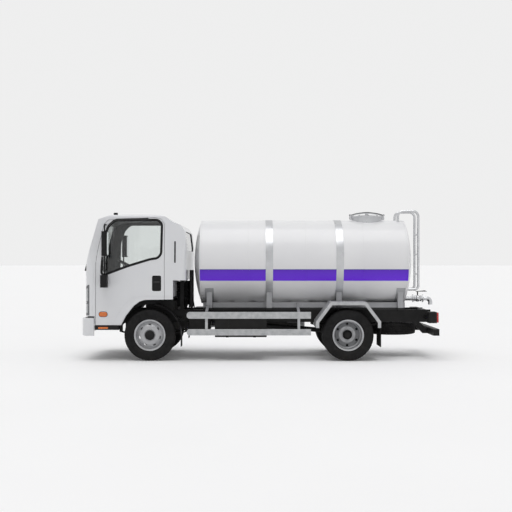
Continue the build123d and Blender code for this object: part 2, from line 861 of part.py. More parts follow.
# Fuel tank on the left-hand rail, rounded along its length, with its straps and brackets
with BuildPart() as fuel_tank:
    with BuildSketch(Plane.YZ.offset(fuel_rear_x)):
        with Locations(((fuel_inner_y + fuel_outer_y) / 2, (fuel_floor_z + fuel_top_z) / 2)):
            RectangleRounded(fuel_outer_y - fuel_inner_y, fuel_top_z - fuel_floor_z, fuel_corner)
    extrude(amount=fuel_front_x - fuel_rear_x)
    for share in fuel_strap_places_share:
        strap_x = fuel_rear_x + share * fuel_length
        with BuildSketch(Plane.YZ.offset(strap_x - fuel_strap_width / 2)):
            with Locations(((fuel_inner_y + fuel_outer_y) / 2, (fuel_floor_z + fuel_top_z) / 2)):
                RectangleRounded(
                    fuel_outer_y - fuel_inner_y + 2 * fuel_strap_wall,
                    fuel_top_z - fuel_floor_z + 2 * fuel_strap_wall,
                    fuel_corner + fuel_strap_wall,
                )
        extrude(amount=fuel_strap_width)
        span_block(
            (strap_x - fuel_strap_width / 2, strap_x + fuel_strap_width / 2),
            (frame_half_width, fuel_inner_y + fuel_corner),
            (fuel_floor_z + fuel_corner, fuel_top_z - fuel_corner / 2),
        )
    fuel_cap_x = fuel_front_x - fuel_cap_inset
    with Locations((fuel_cap_x, fuel_outer_y - fuel_cap_inset, fuel_top_z + fuel_cap_height / 2)):
        Cylinder(fuel_cap_radius, fuel_cap_height)
fuel_tank.part.label = "fuel_tank"
export_step(fuel_tank.part, "parts/fuel_tank.step")

# Battery box on the left and the air tank on the right, each on the rail's side
with BuildPart() as battery_box:
    span_block(
        (battery_rear_x, battery_front_x),
        (battery_inner_y, battery_outer_y),
        (battery_floor_z, battery_top_z),
    )
    fillet(battery_box.edges().filter_by(Axis.Z), battery_corner)
    span_block(
        (battery_rear_x + battery_corner, battery_front_x - battery_corner),
        (frame_half_width, battery_outer_y - battery_corner),
        (frame_bottom_z, frame_bottom_z + battery_shelf_wall),
    )
battery_box.part.label = "battery_box"
export_step(battery_box.part, "parts/battery_box.step")

with BuildPart() as air_tank:
    with Locations(((battery_rear_x + battery_front_x) / 2, -air_tank_y, air_tank_z)):
        Cylinder(air_tank_radius, battery_front_x - battery_rear_x, rotation=(0, 90, 0))
    fillet(air_tank.edges().filter_by(GeomType.CIRCLE), muffler_edge)
    for side in (-1, 1):
        band_x = (battery_rear_x + battery_front_x) / 2 + side * (battery_front_x - battery_rear_x) / 4
        span_block(
            (band_x - fuel_strap_width / 2, band_x + fuel_strap_width / 2),
            (-air_tank_y, -frame_half_width),
            (air_tank_z, air_tank_z + fuel_strap_width),
        )
air_tank.part.label = "air_tank"
export_step(air_tank.part, "parts/air_tank.step")

# Side guards: two rounded-end channels on two bent posts each side
guard_rows = ((guard_low_floor_z, guard_low_top_z), (guard_high_floor_z, guard_high_top_z))
with BuildPart() as side_guards:
    for floor_z, top_z in guard_rows:
        with BuildSketch(Plane.XZ.offset(-guard_y)) as rail_face:
            with Locations(((guard_front_x + guard_rear_x) / 2, (floor_z + top_z) / 2)):
                Rectangle(guard_front_x - guard_rear_x, top_z - floor_z)
            fillet(rail_face.vertices().group_by(Axis.X)[-1], guard_end_radius)
        extrude(amount=guard_wall)
        with BuildSketch(Plane.XZ.offset(-guard_y)):
            add(rail_face.sketch)
            offset(amount=-guard_lip)
        extrude(amount=guard_groove, mode=Mode.SUBTRACT)
    for share in guard_posts_share:
        post_x = guard_rear_x + share * (guard_front_x - guard_rear_x)
        with BuildSketch(Plane.YZ.offset(post_x - guard_post_width / 2)):
            with BuildLine():
                Polyline(
                    (guard_y - guard_wall, guard_low_floor_z),
                    (guard_y - guard_wall, guard_high_top_z),
                    (beam_outer_y, guard_post_top_z - guard_post_wall),
                    (beam_outer_y, guard_post_top_z - 2 * guard_post_wall),
                    (guard_y - guard_wall - guard_post_wall, guard_high_top_z - guard_post_wall),
                    (guard_y - guard_wall - guard_post_wall, guard_low_floor_z),
                    close=True,
                )
            make_face()
        extrude(amount=guard_post_width)
    mirror(about=Plane.XZ)
    add(tank_legs.part, mode=Mode.SUBTRACT)
side_guards.part.label = "side_guards"
export_step(side_guards.part, "parts/side_guards.step")


# Rear fenders: folded sheet over the twin wheels, with a lip down its outer side
def fender_outline(inset, floor_z):
    # the fender's outline from the side, drawn in by inset, down to floor_z
    with BuildSketch(Plane.XZ) as outline:
        with BuildLine():
            Polyline(
                (fender_front_x, floor_z),
                (fender_front_x, fender_knee_z),
                (fender_flat_front_x, fender_top_z),
                (fender_flat_rear_x, fender_top_z),
                (fender_rear_x, fender_knee_z),
                (fender_rear_x, floor_z),
                close=True,
            )
        make_face()
        if inset:
            offset(amount=-inset, kind=Kind.INTERSECTION)
    return outline.sketch


fender_faces = [
    fender_outline(inset, fender_floor_z - (inset + cut_overrun if inset else 0))
    for inset in (0, fender_wall, fender_lip)
]
with BuildPart() as rear_fenders:
    with BuildSketch(Plane.XZ.offset(-fender_outer_y)):
        add(fender_faces[0])
        add(fender_faces[2], mode=Mode.SUBTRACT)
    extrude(amount=fender_wall)
    with BuildSketch(Plane.XZ.offset(-fender_outer_y)):
        add(fender_faces[0])
        add(fender_faces[1], mode=Mode.SUBTRACT)
    extrude(amount=fender_outer_y - fender_inner_y)
    for share in fender_stay_share:
        stay_x = fender_rear_x + share * (fender_front_x - fender_rear_x)
        span_block(
            (stay_x - fender_stay_width / 2, stay_x + fender_stay_width / 2),
            (beam_outer_y, fender_outer_y - fender_wall / 2),
            (fender_top_z - fender_wall - fender_stay_width, fender_top_z - fender_wall / 2),
        )
    mirror(about=Plane.XZ)
rear_fenders.part.label = "rear_fenders"
export_step(rear_fenders.part, "parts/rear_fenders.step")


# Mud flaps: one behind each rear fender and one behind each front mudguard
flap_rows = (
    (fender_rear_x, (fender_inner_y, fender_outer_y), (rear_flap_floor_z, fender_floor_z)),
    (front_flap_x - flap_wall, (mudguard_inner_y, mudguard_outer_y), (front_flap_floor_z, mudguard_low_z)),
)
with BuildPart() as mud_flaps:
    for rear_x, across_span, height_span in flap_rows:
        span_block((rear_x, rear_x + flap_wall), across_span, height_span)
    mirror(about=Plane.XZ)
mud_flaps.part.label = "mud_flaps"
export_step(mud_flaps.part, "parts/mud_flaps.step")

# Front mudguards: the rear quarter of a ring round each wheel, on a stay from the rail
guard_outer_radius = mudguard_radius + mudguard_wall
with BuildPart() as front_mudguards:
    with BuildSketch(Plane.XZ.offset(-mudguard_outer_y)):
        with Locations((front_axle_x, axle_height)):
            Circle(guard_outer_radius)
            Circle(mudguard_radius, mode=Mode.SUBTRACT)
        with BuildLine():
            Polyline(
                (front_axle_x - 2 * mudguard_radius, mudguard_low_z),
                (front_axle_x, mudguard_low_z),
                (front_axle_x, mudguard_top_z),
                (front_axle_x - 2 * mudguard_radius, mudguard_top_z),
                close=True,
            )
        make_face(mode=Mode.INTERSECT)
    extrude(amount=mudguard_outer_y - mudguard_inner_y)
    stay_x = front_axle_x - sqrt(guard_outer_radius ** 2 - (mudguard_stay_z - axle_height) ** 2)
    stay_middle_y = (frame_half_width + mudguard_outer_y) / 2
    with Locations((stay_x - mudguard_stay_radius / 2, stay_middle_y, mudguard_stay_z)):
        Cylinder(mudguard_stay_radius, mudguard_outer_y - frame_half_width, rotation=(90, 0, 0))
    with Locations((front_axle_x, 0, axle_height)):
        Cylinder(mudguard_radius, 2 * mudguard_outer_y, rotation=(90, 0, 0), mode=Mode.SUBTRACT)
    mirror(about=Plane.XZ)
front_mudguards.part.label = "front_mudguards"
export_step(front_mudguards.part, "parts/front_mudguards.step")

# Rear guard: a square bar on two slanted struts from the rails, with the lamps' beam
with BuildPart() as rear_guard:
    span_block(
        (bar_rear_x, bar_rear_x + bar_wall),
        (-bar_half_width, bar_half_width),
        (bar_floor_z, bar_top_z),
    )
    with BuildSketch(Plane.XZ.offset(-frame_half_width)):
        with BuildLine():
            Polyline(
                (strut_top_front_x, frame_bottom_z),
                (strut_top_rear_x, frame_bottom_z),
                (bar_rear_x + bar_wall, bar_top_z - strut_foot_reach / 2),
                (bar_rear_x + bar_wall, bar_floor_z),
                (bar_rear_x + bar_wall + strut_foot_reach, bar_floor_z),
                close=True,
            )
        make_face()
    extrude(amount=strut_width)
    mirror(about=Plane.XZ)
rear_guard.part.label = "rear_guard"
export_step(rear_guard.part, "parts/rear_guard.step")

with BuildPart() as tail_lamps:
    for side in (-1, 1):
        inner_y, outer_y = sorted((side * lamp_inner_y, side * lamp_outer_y))
        beam_span = sorted((side * frame_half_width, side * lamp_inner_y))
        span_block((lamp_rear_x, lamp_front_x), (inner_y, outer_y), (lamp_floor_z, lamp_top_z))
        span_block((lamp_beam_front_x, lamp_beam_rear_x), beam_span, (lamp_beam_floor_z, lamp_beam_top_z))
tail_lamps.part.label = "tail_lamps"
export_step(tail_lamps.part, "parts/tail_lamps.step")

# Spare wheel, flat under the rear of the frame on its hanger
spare_top_z = spare_floor_z + tyre_width
with BuildPart() as spare_wheel:
    with BuildSketch(Plane.XZ):
        with BuildLine():
            Polyline(
                (spare_x + bead_radius, spare_floor_z + bead_rise),
                (spare_x + tyre_radius - shoulder_run, spare_floor_z),
                (spare_x + tyre_radius, spare_floor_z + shoulder_run),
                (spare_x + tyre_radius, spare_top_z - shoulder_run),
                (spare_x + tyre_radius - shoulder_run, spare_top_z),
                (spare_x + bead_radius, spare_top_z - bead_rise),
                close=True,
            )
        make_face()
    revolve(axis=Axis((spare_x, 0, 0), (0, 0, 1)), revolution_arc=360)
    with Locations((spare_x, 0, spare_top_z - bead_rise - disc_wall)):
        Cylinder(bead_radius, disc_wall)
    hanger_span = (spare_top_z - bead_rise - disc_wall, member_top_z - member_height)
    with Locations((spare_x, 0, sum(hanger_span) / 2)):
        Cylinder(spare_hanger_radius, hanger_span[1] - hanger_span[0])
spare_wheel.part.label = "spare_wheel"
export_step(spare_wheel.part, "parts/spare_wheel.step")

# Air intake behind the cab: a flat duct with its hose down to the engine
with BuildPart() as air_intake:
    span_block(
        (intake_rear_x, intake_front_x),
        (intake_inner_y, intake_outer_y),
        (intake_floor_z, intake_top_z),
    )
    fillet(air_intake.edges().filter_by(Axis.Z), intake_corner)
    hose_x = (intake_rear_x + intake_front_x) / 2
    with Locations((hose_x, intake_tube_y - intake_tube, (frame_top_z + intake_floor_z) / 2)):
        Cylinder(intake_corner, intake_floor_z - frame_top_z)
air_intake.part.label = "air_intake"
export_step(air_intake.part, "parts/air_intake.step")

# Brackets at the front of the rails that carry the cab's hinge
with BuildPart() as cab_brackets:
    for side in (-1, 1):
        middle_y = side * pivot_bracket_y
        wall_span = (middle_y - pivot_bracket_wall / 2, middle_y + pivot_bracket_wall / 2)
        with BuildSketch(Plane.XZ.offset(-wall_span[1])):
            with Locations((cab_pivot_x, cab_pivot_z)):
                Circle(pivot_nose_radius)
            with Locations(((cab_pivot_x + frame_front_x) / 2, cab_pivot_z)):
                Rectangle(cab_pivot_x - frame_front_x, 2 * pivot_nose_radius)
            with Locations((cab_pivot_x, cab_pivot_z)):
                Circle(pivot_pin_radius + seat_gap, mode=Mode.SUBTRACT)
        extrude(amount=pivot_bracket_wall)
cab_brackets.part.label = "cab_brackets"
export_step(cab_brackets.part, "parts/cab_brackets.step")

# Springs: a bowed pack of leaves over each axle end, hung from the rail at both ends
spring_rows = ((front_axle_x, beam_top_z), (rear_axle_x, axle_height + axle_tube_radius))
with BuildPart() as leaf_springs:
    for axle_x, seat_z in spring_rows:
        tip_z = seat_z + spring_rise
        with BuildSketch(Plane.XZ.offset(-spring_y - spring_width / 2)):
            with BuildLine():
                front_tip = (axle_x + spring_half_length, tip_z)
                rear_tip = (axle_x - spring_half_length, tip_z)
                top_front = (axle_x + spring_half_length, tip_z + spring_wall / 2)
                top_rear = (axle_x - spring_half_length, tip_z + spring_wall / 2)
                ThreePointArc(rear_tip, (axle_x, seat_z), front_tip)
                Line(front_tip, top_front)
                ThreePointArc(top_front, (axle_x, seat_z + spring_wall), top_rear)
                Line(top_rear, rear_tip)
            make_face()
        extrude(amount=spring_width)
        for end in (-1, 1):
            hanger_x = axle_x + end * (spring_half_length - shackle_width / 2)
            span_block(
                (hanger_x - shackle_width / 2, hanger_x + shackle_width / 2),
                (spring_y - spring_width / 2, spring_y + spring_width / 2),
                (tip_z, frame_bottom_z),
            )
    mirror(about=Plane.XZ)
leaf_springs.part.label = "leaf_springs"
export_step(leaf_springs.part, "parts/leaf_springs.step")

# Front axle: a dropped beam with an upright eye and its pin at each end
with BuildPart() as front_axle:
    span_block(
        (front_axle_x - beam_width / 2, front_axle_x + beam_width / 2),
        (0, beam_neck_y),
        (beam_top_z - beam_height, beam_top_z),
    )
    with BuildSketch(Plane.YZ.offset(front_axle_x - beam_neck_width / 2)):
        with BuildLine():
            Polyline(
                (beam_neck_y - beam_width, beam_top_z - beam_height),
                (beam_neck_y, beam_top_z - beam_height),
                (kingpin_y - eye_radius - neck_clearance, axle_height - eye_height / 4),
                (kingpin_y, axle_height - eye_height / 4),
                (kingpin_y, axle_height + eye_height / 4),
                (kingpin_y - eye_radius - neck_clearance, axle_height + eye_height / 4),
                (beam_neck_y - beam_width / 2, beam_top_z),
                (beam_neck_y - beam_width, beam_top_z),
                close=True,
            )
        make_face()
    extrude(amount=beam_neck_width)
    with Locations((front_axle_x, kingpin_y, axle_height)):
        Cylinder(eye_radius, eye_height)
        Cylinder(kingpin_radius, eye_height + 2 * fork_wall)
    mirror(about=Plane.XZ)
front_axle.part.label = "front_axle"
export_step(front_axle.part, "parts/front_axle.step")

# Knuckle: a fork round the axle's eye, with the stub outside and the steering arm behind
fork_low_z = axle_height - eye_height / 2 - fork_gap
fork_high_z = axle_height + eye_height / 2 + fork_gap
with BuildPart() as knuckle_left:
    for floor_z in (fork_low_z - fork_wall, fork_high_z):
        with Locations((front_axle_x, kingpin_y, floor_z + fork_wall / 2)):
            Cylinder(eye_radius, fork_wall)
        span_block(
            (front_axle_x - eye_radius, front_axle_x + eye_radius),
            (kingpin_y, fork_back_y + fork_wall),
            (floor_z, floor_z + fork_wall),
        )
    span_block(
        (front_axle_x - eye_radius, front_axle_x + eye_radius),
        (fork_back_y, fork_back_y + fork_wall),
        (fork_low_z - fork_wall, fork_high_z + fork_wall),
    )
    with Locations((front_axle_x, (fork_back_y + front_wheel_y + stub_reach) / 2, axle_height)):
        Cylinder(stub_radius, front_wheel_y + stub_reach - fork_back_y, rotation=(90, 0, 0))
    span_block(
        (front_axle_x - steering_arm, front_axle_x),
        (kingpin_y - steering_arm_width / 2, kingpin_y + steering_arm_width / 2),
        (fork_low_z - fork_wall, fork_low_z),
    )
    with Locations((front_axle_x, kingpin_y, axle_height)):
        Cylinder(kingpin_radius + seat_gap, eye_height + 4 * fork_wall, mode=Mode.SUBTRACT)
    with Locations((front_axle_x - steering_arm, kingpin_y, fork_low_z - fork_wall / 2)):
        Cylinder(ball_radius, fork_wall)
    with Locations((front_axle_x, fork_back_y + fork_wall + drum_wall / 2, axle_height)):
        Cylinder(drum_radius, drum_wall, rotation=(90, 0, 0))
knuckle_left.part.label = "knuckle_left"
export_step(knuckle_left.part, "parts/knuckle_left.step")
knuckle_right = mirror(knuckle_left.part, about=Plane.XZ)
knuckle_right.label = "knuckle_right"
export_step(knuckle_right, "parts/knuckle_right.step")

# Tie rod under the two steering arms, with an upright end in each
arm_x = front_axle_x - steering_arm
rod_top_z = fork_low_z - fork_wall - seat_gap
with BuildPart() as tie_rod:
    with Locations((arm_x, 0, rod_top_z - ball_radius)):
        Cylinder(tie_rod_radius, 2 * kingpin_y, rotation=(90, 0, 0))
    for side in (-1, 1):
        with Locations((arm_x, side * kingpin_y, rod_top_z - ball_radius)):
            Cylinder(ball_radius, 2 * ball_radius)
tie_rod.part.label = "tie_rod"
export_step(tie_rod.part, "parts/tie_rod.step")

# Rear axle: a tube with the final drive's round housing and a stub at each end
with BuildPart() as rear_axle:
    with Locations((rear_axle_x, 0, axle_height)):
        Cylinder(axle_tube_radius, 2 * axle_tube_y, rotation=(90, 0, 0))
        Sphere(diff_radius)
        Cylinder(stub_radius, 2 * (inner_dual_y + stub_reach), rotation=(90, 0, 0))
rear_axle.part.label = "rear_axle"
export_step(rear_axle.part, "parts/rear_axle.step")


# Tyres: shares of the section's height from the bead and of half its width
tyre_section_share = (
    (0.0, 0.71),
    (0.112, 0.75),
    (0.24, 0.94),
    (0.5, 1.0),
    (0.78, 0.96),
    (0.955, 0.84),
    (1.0, 0.7),
)

# Wheels: shares of the flange's radius and of half the rim's width, outward positive
front_disc_share = (
    (0.894, -0.95),
    (0.87, -0.8),
    (0.86, 0.22),
    (0.76, 0.36),
    (0.58, 0.66),
    (0.38, 0.74),
    (0.26, 0.45),
    (0.26, 0.1),
    (0.0, 0.1),
    (0.0, 1.12),
    (0.25, 1.12),
    (0.305, 1.0),
    (0.305, 0.84),
    (0.38, 0.9),
    (0.58, 0.82),
    (0.766, 0.52),
    (0.86, 0.42),
    (0.885, 0.8),
    (0.905, 0.95),
)
outer_disc_share = (
    (0.894, -0.95),
    (0.8, -1.05),
    (0.59, -1.19),
    (0.0, -1.19),
    (0.0, -0.45),
    (0.28, -0.45),
    (0.318, -0.6),
    (0.318, -1.04),
    (0.6, -1.04),
    (0.74, -0.86),
    (0.87, -0.55),
    (0.885, 0.8),
    (0.905, 0.95),
)
inner_disc_share = (
    (0.894, -0.95),
    (0.885, -0.8),
    (0.87, 0.55),
    (0.74, 0.86),
    (0.6, 1.04),
    (0.26, 1.04),
    (0.26, -0.4),
    (0.0, -0.4),
    (0.0, 1.19),
    (0.59, 1.19),
    (0.8, 1.05),
    (0.905, 0.95),
)


def scaled(shares, size_a, size_b, base_a=0, base_b=0):
    # an outline's points from its shares of two sizes
    return [(base_a + share_a * size_a, base_b + share_b * size_b) for share_a, share_b in shares]


def wheel_plane(axle_x, wheel_y):
    # a level plane through the wheel's middle: its own axes are the radius and the width
    return Plane(origin=(axle_x, wheel_y, axle_height), x_dir=(1, 0, 0), z_dir=(0, 0, 1))


def tyre(axle_x, wheel_y):
    # one tyre, turned round its axle
    near_side = scaled(tyre_section_share, tyre_radius - bead_radius, tyre_width / 2, bead_radius)
    far_side = [(radius, -across) for radius, across in reversed(near_side)]
    with BuildPart() as ring:
        with BuildSketch(wheel_plane(axle_x, wheel_y)):
            with BuildLine():
                Polyline(*near_side, *far_side, close=True)
            make_face()
        revolve(axis=Axis((axle_x, wheel_y, axle_height), (0, 1, 0)), revolution_arc=360)
    return ring.part


def rim(axle_x, wheel_y, disc_share):
    # one wheel: two flanges, the tyre's seat and a disc, turned round its axle
    half_width = rim_width / 2
    seat_radius = bead_radius - seat_gap
    rim_side = [
        (rim_flange_radius, half_width),
        (rim_flange_radius, half_width - rim_flange_wall),
        (seat_radius, half_width - rim_flange_slope),
        (seat_radius, rim_flange_slope - half_width),
        (rim_flange_radius, rim_flange_wall - half_width),
        (rim_flange_radius, -half_width),
    ]
    disc_side = scaled(disc_share, rim_flange_radius, half_width)
    with BuildPart() as wheel:
        with BuildSketch(wheel_plane(axle_x, wheel_y)):
            with BuildLine():
                Polyline(*rim_side, *disc_side, close=True)
            make_face()
        revolve(axis=Axis((axle_x, wheel_y, axle_height), (0, 1, 0)), revolution_arc=360)
    return wheel.part


def side_plane(axle_x, y):
    # an upright plane facing left, centred on the axle
    return Plane(origin=(axle_x, y, axle_height), x_dir=(-1, 0, 0), z_dir=(0, 1, 0))


with BuildPart() as front_tyre_left:
    add(tyre(front_axle_x, front_wheel_y))
front_tyre_left.part.label = "front_tyre_left"
export_step(front_tyre_left.part, "parts/front_tyre_left.step")
front_tyre_right = mirror(front_tyre_left.part, about=Plane.XZ)
front_tyre_right.label = "front_tyre_right"
export_step(front_tyre_right, "parts/front_tyre_right.step")

drum_front_y = fork_back_y + fork_wall + drum_wall + drum_gap
with BuildPart() as front_rim_left:
    add(rim(front_axle_x, front_wheel_y, front_disc_share))
    with BuildSketch(side_plane(front_axle_x, drum_front_y)):
        Circle(drum_radius)
    extrude(amount=front_wheel_y + hub_inset - drum_front_y)
    with BuildSketch(side_plane(front_axle_x, front_wheel_y)):
        with PolarLocations(front_hole_ring, front_hole_count, start_angle=90):
            SlotOverall(front_hole_length, front_hole_width, rotation=90)
    extrude(amount=rim_width, mode=Mode.SUBTRACT)
    with BuildSketch(side_plane(front_axle_x, drum_front_y - cut_overrun)):
        Circle(stub_radius + seat_gap)
    extrude(amount=front_wheel_y + stub_reach + seat_gap - drum_front_y + cut_overrun, mode=Mode.SUBTRACT)
front_rim_left.part.label = "front_rim_left"
export_step(front_rim_left.part, "parts/front_rim_left.step")
front_rim_right = mirror(front_rim_left.part, about=Plane.XZ)
front_rim_right.label = "front_rim_right"
export_step(front_rim_right, "parts/front_rim_right.step")

with BuildPart() as rear_tyres_left:
    add(tyre(rear_axle_x, outer_dual_y))
    add(tyre(rear_axle_x, inner_dual_y))
rear_tyres_left.part.label = "rear_tyres_left"
export_step(rear_tyres_left.part, "parts/rear_tyres_left.step")
rear_tyres_right = mirror(rear_tyres_left.part, about=Plane.XZ)
rear_tyres_right.label = "rear_tyres_right"
export_step(rear_tyres_right, "parts/rear_tyres_right.step")

with BuildPart() as rear_rims_left:
    add(rim(rear_axle_x, outer_dual_y, outer_disc_share))
    add(rim(rear_axle_x, inner_dual_y, inner_disc_share))
    with BuildSketch(side_plane(rear_axle_x, axle_tube_y + drum_gap)):
        Circle(drum_radius)
    extrude(amount=inner_dual_y - axle_tube_y - drum_gap)
    with BuildSketch(side_plane(rear_axle_x, inner_dual_y)):
        Circle(hub_radius)
    extrude(amount=outer_dual_y - rim_width / 2 - inner_dual_y)
    with BuildSketch(side_plane(rear_axle_x, outer_dual_y - rim_width)):
        with PolarLocations(rear_hole_ring, rear_hole_count, start_angle=90):
            Circle(rear_hole_radius)
    extrude(amount=rim_width, mode=Mode.SUBTRACT)
    with BuildSketch(side_plane(rear_axle_x, outer_dual_y - nut_seat)):
        with PolarLocations(nut_ring_radius, nut_count, start_angle=30):
            RegularPolygon(nut_radius, 6)
    extrude(amount=nut_height)
    with BuildSketch(side_plane(rear_axle_x, axle_tube_y)):
        Circle(stub_radius + seat_gap)
    extrude(amount=inner_dual_y + stub_reach + seat_gap - axle_tube_y, mode=Mode.SUBTRACT)
rear_rims_left.part.label = "rear_rims_left"
export_step(rear_rims_left.part, "parts/rear_rims_left.step")
rear_rims_right = mirror(rear_rims_left.part, about=Plane.XZ)
rear_rims_right.label = "rear_rims_right"
export_step(rear_rims_right, "parts/rear_rims_right.step")


# Cab: shares of its length from the back wall and of its height from the sill
cab_side_share = (
    (0.997, 0.079),
    (1.000, 0.475),
    (0.861, 0.945),
    (0.745, 0.984),
    (0.671, 0.994),
    (0.309, 1.000),
    (0.215, 0.974),
    (0.127, 0.919),
    (0.056, 0.895),
    (0.018, 0.843),
    (0.000, 0.707),
    (0.005, 0.399),
    (0.128, 0.399),
    (0.128, 0.229),
    (0.401, 0.225),
    (0.453, 0.210),
    (0.512, 0.169),
    (0.586, 0.081),
    (0.631, 0.000),
    (0.887, 0.000),
    (0.887, 0.079),
)
door_share = (
    (0.880, -0.086),
    (0.880, 0.563),
    (0.863, 0.670),
    (0.804, 0.902),
    (0.760, 0.942),
    (0.304, 0.963),
    (0.245, 0.947),
    (0.212, 0.902),
    (0.209, -0.086),
)
door_window_share = (
    (0.812, 0.453),
    (0.799, 0.759),
    (0.752, 0.878),
    (0.688, 0.930),
    (0.284, 0.930),
    (0.250, 0.902),
    (0.255, 0.638),
    (0.285, 0.606),
    (0.352, 0.598),
    (0.572, 0.536),
)
dash_share = (
    (0.984, 0.264),
    (0.984, 0.466),
    (0.895, 0.476),
    (0.781, 0.457),
    (0.749, 0.410),
    (0.793, 0.299),
    (0.857, 0.264),
)
seat_share = (
    (0.170, 0.26072),
    (0.399, 0.25736),
    (0.399, 0.311),
    (0.514, 0.328),
    (0.514, 0.384),
    (0.310, 0.375),
    (0.240, 0.732),
    (0.170, 0.726),
    (0.209, 0.364),
    (0.170, 0.352),
)
# Shares of the cab's half width and of its height, up one side
cab_front_share = ((1.0, -0.1), (1.0, 0.44), (0.985, 0.62), (0.925, 0.985))
windscreen_share = ((0.87, 0.5), (0.82, 0.915))
rear_window_share = ((0.7, 0.665), (0.68, 0.84))
headlamp_share = ((0.79, 0.085), (0.99, 0.085), (0.99, 0.362), (0.9, 0.345), (0.79, 0.315))
handle_share = ((0.245, 0.306), (0.329, 0.306), (0.329, 0.438), (0.245, 0.438))
grille_share = ((0.735, 0.228), (0.71, 0.335))
lens_share = (
    ((0.82, 0.105), (0.955, 0.105), (0.955, 0.188), (0.82, 0.188)),
    ((0.82, 0.21), (0.955, 0.21), (0.955, 0.333), (0.9, 0.325), (0.82, 0.303)),
)
lamp_divider_share = 0.199
# Seen from the side: the edge of the flare over the wheel, and the slot in the rear corner
flare_share = (
    (0.1, -0.05),
    (0.1, 0.246),
    (0.437, 0.256),
    (0.498, 0.249),
    (0.556, 0.218),
    (0.617, 0.156),
    (0.683, 0.054),
    (0.725, -0.05),
)
vent_share = ((0.1024, 0.556), (0.1176, 0.556), (0.1176, 0.748), (0.1024, 0.748))


def cab_side(shares, inset=0, corner=0):
    # a closed outline seen from the side, drawn in by inset, its upper corners rounded
    with BuildSketch(Plane.XZ) as outline:
        with BuildLine():
            Polyline(*scaled(shares, cab_length, cab_height, cab_back_x, cab_base_z), close=True)
        make_face()
        if corner:
            fillet(outline.vertices().filter_by_position(Axis.Y, tank_axis_z, 2 * cab_roof_z), corner)
        if inset:
            offset(amount=-inset, kind=Kind.INTERSECTION)
    return outline.sketch


def carried(outline, reach):
    # an outline carried through to reach on both sides of its plane
    with BuildPart() as slab:
        extrude(outline, amount=reach, both=True)
    return slab.part


def cab_slab(outline):
    # an outline seen from the side, carried through past both sides
    return carried(outline, cab_half_width + cut_overrun)


def cab_across(shares):
    # a symmetric outline seen from the front, from its points up one side
    right = scaled(shares, cab_half_width, cab_height, 0, cab_base_z)
    return right + [(-across, up) for across, up in reversed(right)]


def cab_hull(inset):
    # the cab's sides, nose and roof, drawn in by inset, and open below and behind
    with BuildSketch() as plan:
        bow_x = cab_front_x - cab_bow
        with BuildLine():
            Line((cab_back_x, -cab_half_width), (bow_x, -cab_half_width))
            ThreePointArc((bow_x, -cab_half_width), (cab_front_x, 0), (bow_x, cab_half_width))
            Line((bow_x, cab_half_width), (cab_back_x, cab_half_width))
            Line((cab_back_x, cab_half_width), (cab_back_x, -cab_half_width))
        make_face()
        fillet(plan.vertices().group_by(Axis.X)[-1], cab_front_corner)
        fillet(plan.vertices().group_by(Axis.X)[0], cab_back_corner)
        if inset:
            offset(amount=-inset)
    with BuildSketch(Plane.YZ) as front:
        points = cab_across(cab_front_share)
        shoulder, far_shoulder = points[len(cab_front_share) - 1], points[len(cab_front_share)]
        with BuildLine():
            Polyline(*points[: len(cab_front_share)])
            ThreePointArc(shoulder, (0, cab_roof_z), far_shoulder)
            Polyline(*points[len(cab_front_share):])
            Line(points[-1], points[0])
        make_face()
        fillet(front.vertices().group_by(Axis.Y)[-1], cab_roof_corner)
        if inset:
            offset(amount=-inset, kind=Kind.INTERSECTION)
    with BuildPart() as hull:
        add(carried(plan.sketch, cab_roof_z + cut_overrun))
        add(carried(front.sketch, cab_front_x + cut_overrun), mode=Mode.INTERSECT)
    return hull.part


def cab_form(inset):
    # the whole cab, drawn in by inset
    with BuildPart() as form:
        add(cab_hull(inset))
        add(cab_slab(cab_side(cab_side_share, inset)), mode=Mode.INTERSECT)
    return form.part


def across_slab(outline_points, rear_x, corner=0, inset=0):
    # an outline seen from the front, carried forward from rear_x
    with BuildPart() as slab:
        with BuildSketch(Plane.YZ.offset(rear_x)) as outline:
            with BuildLine():
                Polyline(*outline_points, close=True)
            make_face()
            if corner:
                fillet(outline.vertices(), corner)
            if inset:
                offset(amount=-inset)
        extrude(amount=cab_front_x + cut_overrun - rear_x)
    return slab.part


# The cab's outer and inner forms, and the outlines that cut it
cab_outer = cab_form(0)
cab_inner = cab_form(cab_wall)
door_back = cab_hull(door_wall)
door_seal = cab_hull(door_wall + door_seal_gap)
aperture = cab_side(door_share)
with BuildSketch(Plane.XZ) as door_sketch:
    add(aperture)
    offset(amount=-door_gap, kind=Kind.INTERSECTION)
with BuildSketch(Plane.XZ) as rebate_sketch:
    add(aperture)
    offset(amount=-door_rebate, kind=Kind.INTERSECTION)
lamp_points = scaled(headlamp_share, cab_half_width, cab_height, 0, cab_base_z)
lamp_blocks = {
    gap: across_slab(lamp_points, headlamp_rear_x - gap, 0, -gap)
    for gap in (0, lamp_pocket_gap)
}
screen_points = cab_across(windscreen_share)
rear_points = cab_across(rear_window_share)
screen_hole = across_slab(screen_points, screen_rear_x, screen_corner)
screen_glass = across_slab(screen_points, screen_rear_x, screen_corner, glass_gap)

